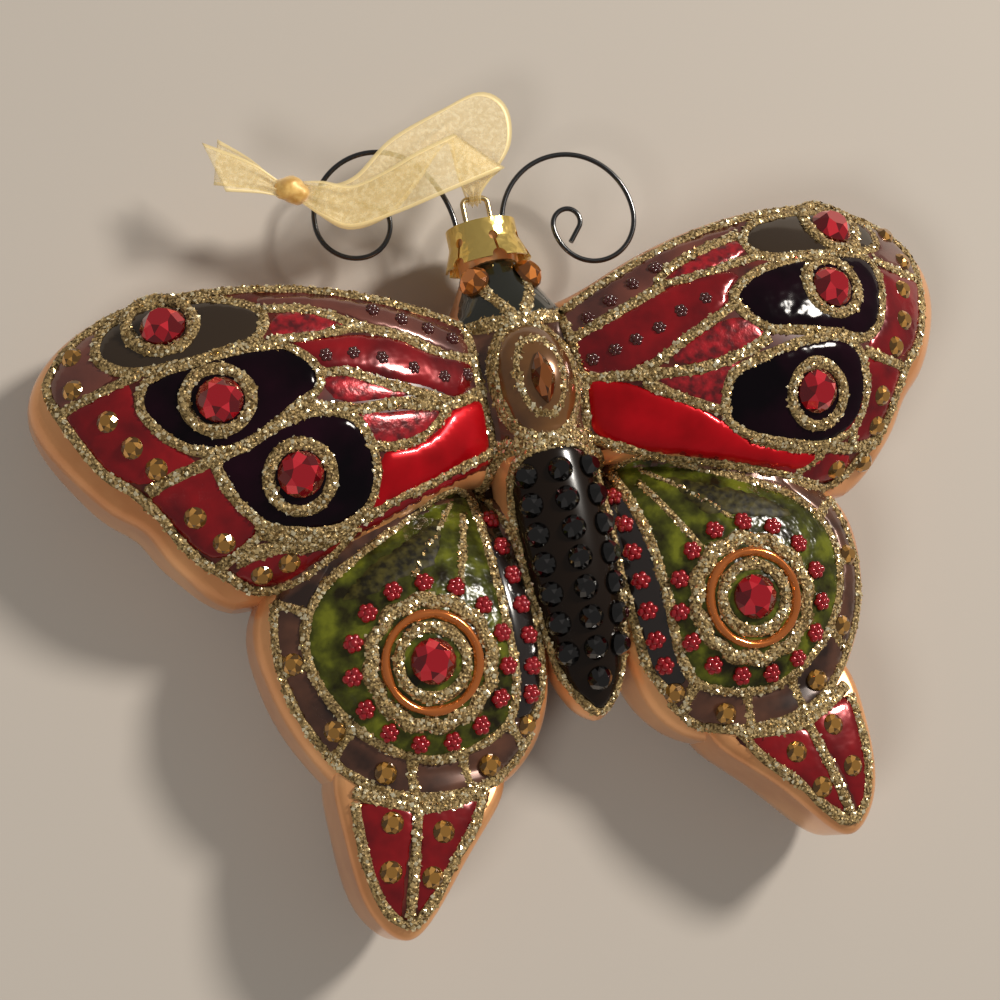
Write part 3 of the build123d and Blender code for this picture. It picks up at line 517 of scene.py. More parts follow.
LOWER_SPOT = {
    "left": [(-49, -5.4), (-48.3, -9.4), (-46.2, -12.5), (-43.6, -15.1), (-39, -16.6), (-33.9, -17.1),
             (-29.2, -15.1), (-27.2, -11.5), (-27.4, -6.3), (-29.2, -2.9), (-32.8, -1.4), (-36.4, -1.4),
             (-40.6, -2.4), (-44.7, -4.2)],
    "right": [(26.9, -9.4), (28.7, -5.5), (33.9, -3.8), (39, -2.7), (45.7, -2.2), (49.8, -4), (51.1, -7.9),
              (50.6, -12), (48.3, -15.6), (43.2, -17.5), (37, -16.6), (31.3, -14.8), (27.7, -12.5)],
}
COSTAL = {
    "left": [(-37.5, 17.6), (-28, 16.2), (-19, 13.2), (-11.5, 10), (-8, 7.2), (-8.6, 4.4), (-13, 5.6),
             (-18, 8.3), (-23, 10.4), (-28, 13.2), (-34, 15.2), (-38, 15.6)],
    "right": [(7, 8.4), (10.5, 10.6), (17.4, 13.4), (24.1, 15.9), (30.8, 17.3), (37.6, 18.2), (36, 16.4),
              (30.8, 14.6), (25.1, 12.8), (22, 10.6), (17.4, 8.1), (12.3, 6.2), (7.8, 4.9)],
}
SMALL_BEADED = {
    "left": [[(-38.2, 12), (-36.6, 14.4), (-32.8, 14.4), (-28.6, 12.6), (-26, 10.6), (-32.8, 10),
              (-37.4, 10.2)],
             [(-32.9, 2.6), (-31, 4), (-27, 3.2), (-23, 1.2), (-19, -0.8), (-25.1, -1), (-31, -0.4)],
             [(-29, -2.2), (-24.6, -2.2), (-20, -2.4), (-15.4, -3.4), (-18.6, -6.4), (-24, -7.4),
              (-28, -6.4)]],
    "right": [[(22.6, 10.8), (25.6, 12.6), (30.6, 14.6), (36, 15.4), (37.2, 13.4), (33, 11.4),
               (27.7, 10.2)],
              [(19.6, -1.4), (25.1, 1.6), (30.4, 3.2), (33.6, 1.8), (35.2, -1), (30.8, -2.6), (24.1, -3.4)],
              [(17, -3.6), (24.1, -4), (30.8, -3.2), (28.4, -6), (27, -10), (22.6, -8.2)]],
}
UPPER_RED = {
    "left": [(-35.6, 9.4), (-30.3, 9.6), (-25.1, 9.4), (-20, 8.2), (-14.8, 5.6), (-9.2, 4.2), (-8.6, 1.2),
             (-12.3, -1.6), (-17.4, 0.2), (-22.6, 1.8), (-27.7, 3.8), (-32.4, 4.6), (-33.9, 7)],
    "right": [(7.8, 4.2), (14.9, 6.8), (22.2, 9.4), (29.8, 10.4), (34.2, 9.6), (31.6, 7), (29.8, 4.2),
              (24.1, 1.5), (18.4, -1.2), (12.4, -2.2), (8, -0.8)],
}
LOWER_RED = {
    "left": [(-13.8, -3.2), (-8.6, -2), (-8, -6.2), (-8.6, -9.8), (-12.3, -11), (-17.4, -12.6),
             (-22.6, -14.2), (-28.4, -15.6), (-27.2, -11), (-25.4, -8), (-20, -7.2), (-16.6, -5.6)],
    "right": [(8.4, -2), (12.3, -2.6), (17.4, -5.6), (23.6, -9.4), (27.6, -12.6), (31.3, -15.6),
              (39, -17.8), (44, -19.6), (39, -20.8), (32, -19.2), (25.1, -17), (17.4, -14.6), (11.3, -12),
              (8, -8.8)],
}
UPPER_DOTS = {
    "left": [(-31.3, 6.6), (-27.2, 6.4), (-23.1, 5.2), (-18.7, 3.2), (-14.1, 1.6), (-10, 1.7)],
    "right": [(27.4, 6.4), (23.3, 5.2), (19.7, 3.4), (16.1, 2.4), (13.1, 1.6), (9.8, 1)],
}
# The next forms are for the right wing and mirrored to the left
COSTAL_DOTS = [(10.8, 7.4), (14.4, 9.2), (18.2, 11), (22.2, 12.8)]
APEX_CELL = [(68.6, 9.6), (67.2, 13), (64.2, 15.8), (60.6, 17.8), (59.8, 15.4), (61.4, 12.2), (59.6, 9.4),
             (63.7, 7.4), (67.6, 6.2)]
MARGIN_CELLS = [
    [(67.4, 5.6), (63.7, 7), (58.4, 8.2), (57.6, 3.8), (55.6, -0.4), (52.4, -3.6), (51.6, -5.2), (56, -6.6),
     (60, -6.4), (63.2, -3.8), (65.4, 0)],
    [(58.6, -8.2), (55, -6.6), (50, -5.8), (48.6, -9), (46.6, -12.6), (44.6, -15.4), (48.6, -18.2),
     (52.2, -17.6), (55, -14.4), (57, -11.2)],
    [(48.6, -20), (44, -18.4), (39, -19.2), (37.6, -21.4), (41, -23), (46, -22.6)],
]
RIM_LINE = [
    (8, 9.6), (17, 13.4), (28, 17), (39, 19.2), (50, 20.2), (57, 19.4), (62.6, 17),
    (66.4, 14), (68.6, 10.6), (68, 6.2), (65.8, 0.2), (63.6, -4), (60.6, -7), (57.6, -11),
    (55.4, -14.8), (52.6, -18.2), (49.4, -20.6), (46, -23), (41, -23.6), (37, -22),
]
FORE_GROUND = RIM_LINE + [(30, -18.8), (20, -15.6), (12, -13), (7.6, -10.8), (7.8, 0)]
RIM_BELOW = [(6.6, -10.6), (12, -12.8), (20, -15.4), (30, -18.6), (38, -21.8), (43, -23.8), (38.6, -19.8),
             (29.6, -16.4), (20, -13.6), (12, -11), (7, -9.2)]
# Glitter lines along the veins of each wing, with their shares of the width
SPREAD = {
    "left": [
        ([(-38.2, 15.4), (-32.8, 14.5), (-28.6, 12.6), (-24.1, 10.2), (-20, 8.8), (-15.9, 6.6),
          (-12.3, 4.7), (-8, 4)], 1.1),
        ([(-38.4, 10.3), (-32.8, 10), (-27.7, 10.3), (-24.1, 10.1)], 0.9),
        ([(-33.4, 4.4), (-28.7, 3.9), (-25.1, 2.1), (-20, 0.2), (-16.4, -1.2), (-13, -2.3)], 1.0),
        ([(-36.6, 0.2), (-31.8, -0.9), (-27.7, -1.7), (-22.6, -1.5), (-17.4, -2.2), (-12.3, -2.2),
          (-7.1, -0.4)], 1.1),
        ([(-28, -6.6), (-24.6, -7.4), (-20.5, -7), (-17.4, -5.5), (-14.3, -3.1)], 0.9),
        ([(-5.6, -9), (-10.2, -10.4), (-14.8, -11.7), (-20, -13.4), (-25.1, -14.7), (-30, -16.8)], 1.0),
        ([(-67.8, 6), (-63.7, 7.2), (-59.1, 8.3), (-56.6, 9)], 1.0),
        ([(-58.6, -7.6), (-54.5, -6.3), (-50.8, -5.5), (-48.8, -4.6)], 1.1),
        ([(-49, -6.5), (-47, -11.5), (-44.3, -15.4), (-47.4, -17.8), (-50.6, -19.2)], 1.0),
        ([(-48, -19), (-43.4, -18.2), (-38.6, -18.8), (-34, -18.2), (-29.6, -15.6)], 1.3),
        ([(-44, -16), (-40, -17.6), (-35, -18.2)], 1.3),
        ([(-37, -22), (-34, -20), (-31, -17.4)], 1.0),
    ],
    "right": [
        ([(36.8, 16.2), (30.8, 14.7), (25.1, 12.9), (22.2, 11.2), (21.2, 9.4), (17.4, 8.1), (12.3, 6.3),
          (7.7, 4.7)], 1.1),
        ([(22, 10.1), (27.7, 10.3), (32.9, 11.2), (37.5, 11.9)], 0.9),
        ([(31.8, 5), (27.7, 3.2), (22.6, 0.9), (18.8, -1.2), (14.4, -2.6)], 1.0),
        ([(35.4, -0.9), (30.8, -2.7), (24.1, -3.7), (17.4, -3.1), (12.3, -2.2), (7.7, -1.2)], 1.1),
        ([(15.9, -4), (20, -6.9), (24.1, -9.2), (27.4, -10.7)], 1.0),
        ([(6.6, -9.4), (11.3, -12), (16, -14.2), (22.6, -16.4), (30.8, -19), (37, -21), (42, -22.8)], 1.0),
        ([(59, 9.6), (63, 7.6), (67.4, 6.2)], 1.0),
        ([(51.6, -5), (55.4, -6.6), (59, -8)], 1.0),
        ([(50.8, -6.2), (50.4, -12), (48.4, -15.8), (48, -18.4)], 1.0),
        ([(43.6, -18.2), (48, -18.6), (53.6, -18)], 1.1),
        ([(31, -15), (37, -17.2), (43.6, -18.2)], 1.0),
        ([(42.6, -18.8), (39, -20.6), (37, -21.8)], 1.0),
    ],
}


def stone_clouds(node):
    """The points of each stone in a node, in mm: those that welded edges join."""
    mesh = nodes[node].data
    owner = list(range(len(mesh.vertices)))

    def root(i):
        while owner[i] != i:
            owner[i] = owner[owner[i]]
            i = owner[i]
        return i

    welded = {}
    for vertex in mesh.vertices:
        key = tuple(round(c, 6) for c in vertex.co)
        if key in welded:
            owner[vertex.index] = root(welded[key])
        welded.setdefault(key, vertex.index)
    for edge in mesh.edges:
        a, b = root(edge.vertices[0]), root(edge.vertices[1])
        owner[a] = b
    groups = {}
    for vertex in mesh.vertices:
        groups.setdefault(root(vertex.index), []).append(vertex.co)
    return [np.array(group, float) / MM for group in groups.values()]


def paint_forewing(side):
    """Enamel, glitter and dots of one forewing."""
    panels(f"{side}_forewing_ground", [sided(FORE_GROUND, side)], wine_ground, **GROUND)
    panels(f"{side}_upper_eyespot", [UPPER_SPOT[side]], olive_brown)
    panels(f"{side}_dark_eyespots", [MIDDLE_SPOT[side], LOWER_SPOT[side]], black_plum, rise=0.6, roll=3.0)
    panels(f"{side}_costal_panel", [COSTAL[side]], mauve)
    panels(f"{side}_beaded_panels", SMALL_BEADED[side], beaded_red)
    panels(f"{side}_upper_red_panel", [UPPER_RED[side]], deep_red, rise=0.6, roll=2.6)
    panels(f"{side}_lower_red_panel", [LOWER_RED[side]], candy_red, rise=0.7, roll=3.0)
    panels(f"{side}_apex_cell", [sided(APEX_CELL, side)], mauve)
    panels(f"{side}_margin_cells", [sided(cell, side) for cell in MARGIN_CELLS], deep_red)
    panels(f"{side}_lower_rim", [sided(RIM_BELOW, side)], deep_red)
    rings = []
    for spot in ("upper", "middle", "lower"):
        centre = stone_clouds(f"{side}_{spot}_stone")[0].mean(0)[:2]
        rings.append((circle(centre, RING_RADIUS), True, 1.2))
    lines = [(spot[side], True, 1.0) for spot in (UPPER_SPOT, MIDDLE_SPOT, LOWER_SPOT)]
    lines += opened(SPREAD[side])
    lines.append((sided(RIM_LINE, side), False, 0.9))
    veined = glitter(f"{side}_forewing_glitter", lines)
    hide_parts(f"{side}_forewing_lines")
    glitter(f"{side}_forewing_rings", rings, rise=RING_RISE)
    dots(f"{side}_forewing_dots", UPPER_DOTS[side] + sided(COSTAL_DOTS, side), DOT_RADIUS, dark_red_dot)


def dots(name, places, radius, material):
    """Low round dots of enamel, each a cluster of small beads."""
    beads = [(0, 0)] + [(math.cos(k * math.pi / 3), math.sin(k * math.pi / 3)) for k in range(6)]
    spread = BEAD_SPREAD * radius
    parts = []
    for x, y in places:
        centres, normals = on_front([(x + spread * bx, y + spread * by) for bx, by in beads])
        for k, (centre, normal) in enumerate(zip(centres, normals)):
            bead = OUTER_BEAD if k else MIDDLE_BEAD
            size = radius * bead["size"] * seed.uniform(*BEAD_VARIES)
            parts.append(ball(centre + normal * bead["lift"] * radius, size))
    painted(name, parts, material)


def ball(centre, radius, rows=5, columns=8):
    """Points and faces of a small ball."""
    points = [centre + np.array((0, 0, radius))]
    for row in range(1, rows):
        fall = math.pi * row / rows
        for column in range(columns):
            turn = 2 * math.pi * column / columns
            spread = radius * math.sin(fall)
            outward = (spread * math.cos(turn), spread * math.sin(turn), radius * math.cos(fall))
            points.append(centre + outward)
    points.append(centre - np.array((0, 0, radius)))
    faces = []
    for column in range(columns):
        after = (column + 1) % columns
        faces.append((0, 1 + column, 1 + after))
        for row in range(rows - 2):
            a = 1 + row * columns
            b = a + columns
            faces.append((a + column, b + column, b + after, a + after))
        a = 1 + (rows - 2) * columns
        faces.append((a + after, a + column, len(points) - 1))
    return np.array(points), faces


for wing in SIDES:
    paint_forewing(wing)


# Hindwing and tail patterns, for the right side and mirrored to the left

HIND_PANEL = [(11.6, -15), (17, -14.6), (24, -18), (31, -21.4), (37, -25), (40.6, -30), (41, -36),
              (38.4, -42.6), (33.6, -48), (27, -51.4), (20, -51), (14.6, -48.4), (12.6, -43), (12.4, -34),
              (12, -24)]
HIND_INNER = [(8.6, -15.6), (10.8, -16), (12.2, -24), (12.4, -34), (12.6, -43), (13.6, -48), (10.4, -48.4),
              (8, -44), (7.2, -34), (7.2, -24)]
HIND_MARGIN = [(34, -20), (41.6, -22.6), (44.6, -28.4), (45, -35.4), (43.2, -42.8), (40.2, -48.6),
               (36, -53.4), (29.6, -56.4), (22, -56.8), (15.2, -55), (10.4, -50.2), (13.4, -48.6),
               (20, -51.4), (27, -51.8), (33.8, -48.4), (38.8, -42.8), (41.4, -36), (41, -29.8),
               (37.2, -24.6)]
HIND_DARK = [(17.4, -17.6), (24, -20.2), (31, -23.4), (35.6, -27.6), (30.6, -27.8), (25, -26.2),
             (20.6, -25)]
HIND_GROUND = [(8.6, -15.4), (17, -13.8), (25, -17), (33.6, -19.8), (41.4, -22.8), (44.4, -28.4),
               (44.8, -35.4), (43, -42.8), (40, -48.4), (35.8, -53.2), (29.6, -56.2), (22, -56.6),
               (15.2, -54.8), (10.6, -50.2), (8.2, -44), (7.4, -34), (7.4, -24)]
HIND_RING_SCALLOP = 8.7
HIND_RING_ORANGE = 6.7
HIND_RING_INNER = 4.9
SCALLOPS = 12
SCALLOP_DEPTH = 0.35
BEAD_RING = 11.2
BEAD_COUNT = 15
BEAD_TURN = 0.2  # turn of the bead ring, in radians
ORANGE_FORM = {"width": 1.5, "rise": 1.3}
LACQUER_STEP = 0.6  # spacing of the points round the orange ring
INNER_BEADS = [(9.8, -19.4), (9.7, -23.8), (9.6, -28.2), (9.5, -32.6), (9.5, -37), (9.8, -41.4),
               (10.6, -45.2)]
HIND_LINES = [
    ([(11.4, -15.4), (12.2, -24), (12.5, -34), (12.7, -43), (14.4, -48.4)], 0.9),
    ([(8.4, -16.4), (7.4, -24), (7.3, -34), (8.2, -44), (10.4, -48.8)], 0.9),
    ([(14, -18), (16.4, -24), (18.8, -29.6)], 0.9),
    ([(15, -16), (20, -21), (24.6, -26)], 0.7),
    ([(43.8, -26), (44.8, -32), (44.4, -38.8), (42.2, -45), (38.6, -50.6), (34, -54.6), (28, -56.6),
      (21, -56.8), (15, -54.8), (11, -50.8)], 0.9),
    ([(14.6, -48.8), (13.4, -50.8), (12.4, -52.8)], 1.1),
    ([(22, -51), (22.2, -53.8), (21.8, -56.6)], 1.0),
    ([(29.4, -50.6), (30, -53.4), (30.2, -56.4)], 1.2),
    ([(37, -44.6), (38.8, -47), (40.2, -48.8)], 1.0),
    ([(40.6, -35), (42.6, -35.4), (44.8, -35.8)], 0.9),
    ([(39.8, -28.2), (42, -26.6), (43.8, -25.8)], 1.0),
]
TAIL_CELLS = [
    [(21.4, -57.4), (29.4, -58), (31.4, -63.4), (33.4, -71.4), (30.2, -69.8), (26.4, -65.4), (22.4, -60.8)],
    [(31, -57.6), (38.2, -55.6), (38.4, -62), (38, -68.6), (35.6, -72), (33.4, -65.6)],
]
TAIL_LINES = [
    ([(20, -57), (22.4, -61.4), (26.8, -66), (30.6, -70.6), (34.2, -73.2), (37.4, -70), (38.8, -63),
      (38.6, -55.4)], 0.9),
    ([(30.2, -57.6), (32, -64), (34.2, -72)], 1.0),
    ([(20.6, -57.4), (27, -58.2), (33, -56.6), (38.4, -53.6)], 1.1),
]


def raised_ring(name, centre, radius, material, width, rise):
    """A smooth raised ring of lacquer."""
    line = smooth_line(circle(centre, radius), True, LACQUER_STEP)
    points, faces, _ = band_parts(line, True, width, rise)
    painted(name, [(points, faces)], material)


def paint_hindwing(side):
    """Enamel, rings, beads and glitter of one hindwing and its tail."""
    panels(f"{side}_hindwing_ground", [sided(HIND_GROUND, side)], bark_brown, **GROUND)
    panels(f"{side}_tail_ground", [sided(TAIL_LINES[0][0], side)], wine_ground, **GROUND)
    panels(f"{side}_hindwing_panel", [sided(HIND_PANEL, side)], leaf_green, rise=0.4, roll=2.4)
    panels(f"{side}_hindwing_dark_patches", [sided(HIND_DARK, side)], dark_leaf, rise=0.55, roll=1.2)
    panels(f"{side}_hindwing_band", [sided(HIND_INNER, side)], dark_band)
    panels(f"{side}_hindwing_margin", [sided(HIND_MARGIN, side)], bark_brown)
    panels(f"{side}_tail_cells", [sided(cell, side) for cell in TAIL_CELLS], deep_red)
    centre = stone_clouds(f"{side}_hindwing_stone")[0].mean(0)[:2]
    raised_ring(f"{side}_orange_ring", centre, HIND_RING_ORANGE, orange_ring, **ORANGE_FORM)
    turns = np.linspace(0, 2 * np.pi, 4 * SCALLOPS, endpoint=False)
    wave = HIND_RING_SCALLOP + SCALLOP_DEPTH * np.cos(SCALLOPS * turns)
    rings = [(circle(centre, wave, 4 * SCALLOPS), True, 1.4), (circle(centre, HIND_RING_INNER), True, 1.1)]
    ringed = glitter(f"{side}_hindwing_ring_glitter", rings, rise=RING_RISE)
    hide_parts(f"{side}_hindwing_rings")
    lines = [(sided(HIND_PANEL, side), True, 0.9)]
    lines += sided_lines(HIND_LINES, side)
    glitter(f"{side}_hindwing_glitter", lines)
    glitter(f"{side}_tail_glitter", sided_lines(TAIL_LINES, side))
    beads = [*circle(centre, BEAD_RING, BEAD_COUNT, BEAD_TURN), *sided(INNER_BEADS, side)]
    dots(f"{side}_hindwing_beads", beads, BEAD_RADIUS, red_bead)


for wing in SIDES:
    paint_hindwing(wing)


# Body

THORAX = circle((0, 0), 1, 16) * (6.2, 9.0) + (0, -0.8)
THORAX_INNER = circle((0, 0), 1, 14) * (3.3, 5.6) + (0, -0.6)
ABDOMEN = [(0, -10.6), (4.6, -11.6), (6.6, -15), (7.2, -22), (7, -30), (6, -38), (4.2, -45), (0, -49.8),
           (-4.2, -45), (-6, -38), (-7, -30), (-7.2, -22), (-6.6, -15), (-4.6, -11.6)]
HEAD = [(7.9, 8.6), (7.4, 12), (5.6, 15.6), (4.3, 18.6), (0, 19.2), (-4.3, 18.6), (-5.6, 15.6), (-7.4, 12),
        (-7.9, 8.6), (-4, 8), (4, 8)]
SHOULDERS = [(-8.4, 8.8), (8.4, 8.8), (8.6, 0), (8.4, -10.8), (-8.4, -10.8), (-8.6, 0)]
panels("body_ground", [SHOULDERS], bark_brown, **GROUND)
panels("head_enamel", [HEAD], head_glass, rise=0.3, roll=1.5)
panels("thorax_enamel", [THORAX], amber_glass, rise=0.5, roll=2.5)
panels("abdomen_enamel", [ABDOMEN], body_glass, rise=0.3, roll=1.5)
BODY_LINES = [
    ([(-3.4, 17.8), (-3.2, 13.6), (-0.8, 9.4)], 1.2),
    ([(3.4, 17.8), (3.2, 13.6), (0.8, 9.4)], 1.2),
    ([(-7.4, 9), (0, 8.7), (7.4, 9)], 1.3),
    ([(-6.8, -9.8), (0, -10.4), (6.8, -9.8)], 1.5),
]
BODY_SEAMS = [
    ([(7.6, 8.4), (7.9, 3), (7.9, -3), (7.2, -9)], 1.2),
    ([(6.6, -10), (8.4, -12.6), (9.8, -15.8)], 1.4),
]
body_lines = [(THORAX, True, 1.4), (THORAX_INNER, True, 1.2), (ABDOMEN, True, 0.8)] + opened(BODY_LINES)
for wing in SIDES:
    body_lines += sided_lines(BODY_SEAMS, wing)
glitter("body_glitter", body_lines)


# Stones

GIRDLE_SIDES = 16
TABLE_SIDES = 8
GEM_RINGS = [  # share of the width, level, sides and turn of each ring of corners
    (1.0, 0.0, GIRDLE_SIDES, 0.0), (1.0, 0.3, GIRDLE_SIDES, 0.0),
    (0.8, 0.68, TABLE_SIDES, 0.5), (0.52, 1.0, TABLE_SIDES, 0.0),
]
FOOT_DEPTH = 0.05  # how near its back a point of a stone counts as on it


def gem_parts(base, normal, across, width, length, height, pointed=False):
    """Points, faces and tones of a flat-backed stone with an eight-sided table, set on a plane; the tones
    put painted shade and painted glints on alternate facets.
    """
    along = np.cross(normal, across)
    points, starts = [], []
    for share, level, count, shift in GEM_RINGS:
        starts.append(len(points))
        for k in range(count):
            turn = 2 * math.pi * (k + shift) / count
            u = math.cos(turn)
            v = math.sin(turn)
            if pointed:
                u = math.copysign(1 - v * v, u)
            outward = across * (width / 2 * u) + along * (length / 2 * v)
            points.append(base + outward * share + normal * (level * height))
    foot, girdle, middle, table = starts
    faces = [tuple(reversed(range(foot, girdle))), tuple(range(table, table + TABLE_SIDES))]
    kinds = [1, 0] + [1] * GIRDLE_SIDES  # 0 is the crown's tone, 1 the tone with painted shade and 2 the tone with a painted glint
    for k in range(GIRDLE_SIDES):
        after = (k + 1) % GIRDLE_SIDES
        faces.append((foot + k, foot + after, girdle + after, girdle + k))
    for k in range(TABLE_SIDES):
        before = (k - 1) % TABLE_SIDES
        after = (k + 1) % TABLE_SIDES
        faces.append((table + k, middle + before, girdle + 2 * k, middle + k))
        faces.append((table + k, middle + k, table + after))
        faces.append((middle + k, girdle + 2 * k, girdle + 2 * k + 1))
        faces.append((middle + k, girdle + 2 * k + 1, girdle + (2 * k + 2) % GIRDLE_SIDES))
        # alternate facets take the painted shade and the painted glint
        kinds += [k % 3, 2 - k % 2, 1, k % 2]
    return points, faces, kinds


def stone_frame(cloud):
    """Middle of a stone's back, the way it faces, the way across it, its width, length and height."""
    centre = cloud.mean(0)
    spread = cloud - centre
    _, _, axes = np.linalg.svd(spread, full_matrices=False)
    normal = axes[2] if axes[2][2] > 0 else -axes[2]
    levels = spread @ normal
    across = np.cross((0.0, 1.0, 0.0), normal)
    across /= np.linalg.norm(across)
    along = np.cross(normal, across)
    foot = spread[levels < levels.min() + FOOT_DEPTH]
    sides = foot @ across
    ends = foot @ along
    middle = centre + normal * levels.min()
    middle += across * (sides.min() + sides.max()) / 2 + along * (ends.min() + ends.max()) / 2
    return middle, normal, across, np.ptp(sides), np.ptp(ends), np.ptp(levels)


def gems(node, tones, pointed=False):
    """Cut stones in the places of a node's solids, with painted light and shade on their facets."""
    parts, kinds = [], []
    for cloud in stone_clouds(node):
        points, faces, facet_light_and_shade = gem_parts(*stone_frame(cloud), pointed)
        parts.append((points, faces))
        kinds += facet_light_and_shade
    thing = add_mesh(f"{node}_cut", *merged(parts), tones, kinds, smooth=False)
    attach(thing, "ornament")
    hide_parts(node)


for wing in SIDES:
    for spot in ("upper", "middle", "lower", "hindwing"):
        gems(f"{wing}_{spot}_stone", ruby)
    for field in ("forewing", "hindwing", "tail"):
        gems(f"{wing}_{field}_amber_stones", amber)
    gems(f"{wing}_eye_stone", topaz)
gems("abdomen_stones", jet)
gems("thorax_stone", brown_amber, pointed=True)


# Ribbon: a sheer woven band that goes round the hanger's bar and is knotted; edges of the band in mm

BACK_RUN = [
    ((-26.8, 32.2, 12.6), (-26.6, 35.2, 12.6)), ((-21, 27.6, 12), (-22.6, 34.6, 12.2)),
    ((-14, 28.8, 11.9), (-18, 35.6, 12.1)), ((-8.6, 33.2, 11.9), (-11.6, 40.4, 12.2)),
    ((-5, 37, 11.9), (-2.6, 44, 12.2)), ((-3.2, 38.6, 11.9), (4.2, 46, 12.2)),
    ((-2.6, 38.8, 11.9), (7.8, 43.2, 12.1)), ((-2.4, 37, 11.9), (7.2, 37.4, 11.9)),
    ((-2, 33, 11.4), (3, 32.6, 11.4)),
]
BIGHT = [
    ((-1, 30.6, 9.6), (1, 30.6, 9.6)), ((-1, 29, 10.5), (1, 29, 10.5)),
    ((-1, 30.4, 11.5), (1, 30.4, 11.5)),
]
FRONT_RUN = [
    ((-2.3, 32.4, 12.3), (2.7, 32.2, 12.3)), ((-2.6, 39, 12.7), (4, 33, 12.7)),
    ((-2.3, 39.6, 13.3), (4.4, 33.3, 13.3)), ((-2.6, 39.4, 13.9), (4, 33, 13.9)),
    ((-9, 37.2, 14.2), (-5, 30.6, 14.2)), ((-13.8, 35.2, 14), (-13, 28.6, 13.6)),
    ((-19, 33.8, 13.4), (-20.4, 27.4, 13.4)), ((-23.4, 35, 13.4), (-24.4, 29.4, 13.6)),
    ((-26.4, 35.4, 13.2), (-27, 32, 13.2)),
]
ENDS = {
    "front_end": [((-29.4, 33.2, 13.4), (-30, 36, 13.4)), ((-33, 34.2, 13.8), (-34, 39.4, 13.8)),
                  ((-38.2, 35, 14.4), (-40, 43, 13.4))],
    "back_end": [((-29.4, 33.4, 12.6), (-30, 36, 12.6)), ((-33, 35.2, 12.4), (-33.2, 40, 12.4)),
                 ((-39.2, 37, 11.6), (-37.4, 43.6, 12.2))],
}
KNOT_CENTRE = (-28.2, 34.3, 13.0)
KNOT_HALF = (2.7, 2.15)
KNOT_TURN = math.radians(-28)
BAND_FULL_WIDTH = 9.0
CLOTH_THICKNESS = 0.14
PLEAT_DEPTH = 0.5
PLEATS = 2.5  # across the band
CLOTH_COLUMNS = 14
CLOTH_STEP = 0.98
SELVEDGE = 1  # columns of the mesh on each side that are the woven edge
WRAP_DEPTH = 0.10  # of the knot's two wraps and its finer creases, as shares
CREASE_DEPTH = 0.04
KNOT_CUT = 0.04  # share of the knot's length left flat at each end
KNOT_DRAWN = 0.92  # share of its half width, so that the wraps stay within


def strip_parts(stations):
    """Points, faces and materials of a thin band of cloth through its stations, pleated where narrow."""
    columns = CLOTH_COLUMNS
    left_edge = np.array([station[0] for station in stations])
    right_edge = np.array([station[1] for station in stations])
    line = smooth_line(np.hstack([left_edge, right_edge]), False, CLOTH_STEP)
    left_edge, right_edge = line[:, :3], line[:, 3:]
    share = np.linspace(0, 1, columns)[None, :, None]
    sheet = left_edge[:, None] * (1 - share) + right_edge[:, None] * share
    along = np.gradient(sheet, axis=0)
    across = np.gradient(sheet, axis=1)
    normal = np.cross(along, across)
    normal /= np.maximum(np.linalg.norm(normal, axis=2), 1e-9)[:, :, None]
    width = np.linalg.norm(right_edge - left_edge, axis=1)
    gather = np.clip(1 - width / BAND_FULL_WIDTH, 0, 1)[:, None]
    pleats = np.sin(2 * np.pi * PLEATS * share[:, :, 0]) * gather * PLEAT_DEPTH
    sheet = sheet + normal * pleats[:, :, None]
    rows = len(sheet)
    top = (sheet + normal * CLOTH_THICKNESS / 2).reshape(-1, 3)
    bottom = (sheet - normal * CLOTH_THICKNESS / 2).reshape(-1, 3)
    under = rows * columns
    faces, kinds = [], []
    for i in range(rows - 1):
        for j in range(columns - 1):
            a = i * columns + j
            quad = (a, a + columns, a + columns + 1, a + 1)
            edge = j < SELVEDGE or j >= columns - 1 - SELVEDGE
            faces += [quad, tuple(under + k for k in reversed(quad))]
            kinds += [int(edge), int(edge)]
        for a, b in ((i * columns, i * columns + columns), ((i + 2) * columns - 1, (i + 1) * columns - 1)):
            faces.append((a, a + under, b + under, b))
            kinds.append(1)
    for start in (0, (rows - 1) * columns):
        for j in range(columns - 1):
            pair = (start + j, start + j + 1) if start == 0 else (start + j + 1, start + j)
            faces.append((pair[0], pair[1], pair[1] + under, pair[0] + under))
            kinds.append(1)
    return np.vstack([top, bottom]), faces, kinds


def cloth(name, stations):
    """A piece of the ribbon through its stations."""
    points, faces, kinds = strip_parts(stations)
    thing = add_mesh(name, points, faces, [sheer_gold, selvedge_gold], kinds)
    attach(thing, "ribbon")
    return thing


def knot():
    """The knot: a small turned form with two wraps pressed into it."""
    rows, columns = 16, 24
    heading = np.array((math.cos(KNOT_TURN), math.sin(KNOT_TURN), 0))
    sideways = np.array((-math.sin(KNOT_TURN), math.cos(KNOT_TURN), 0))
    points, faces = [], []
    for i in range(rows + 1):
        fall = math.pi * (KNOT_CUT + (1 - 2 * KNOT_CUT) * i / rows)
        for j in range(columns):
            turn = 2 * math.pi * j / columns
            wrap = 1 + WRAP_DEPTH * math.cos(4 * fall + turn)
            wrap += CREASE_DEPTH * math.cos(5 * turn + 9 * fall)
            spread = KNOT_HALF[1] * KNOT_DRAWN * math.sin(fall) * wrap
            points.append(
                np.array(KNOT_CENTRE) + heading * (-KNOT_HALF[0] * math.cos(fall))
                + sideways * spread * math.cos(turn) + np.array((0, 0, spread * math.sin(turn)))
            )
    for i in range(rows):
        for j in range(columns):
            a = i * columns + j
            b = i * columns + (j + 1) % columns
            faces.append((a, b, b + columns, a + columns))
    faces.append(tuple(range(columns - 1, -1, -1)))
    faces.append(tuple(range(rows * columns, (rows + 1) * columns)))
    thing = add_mesh("ribbon_knot", points, faces, [knot_gold])
    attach(thing, "ribbon")
    return thing


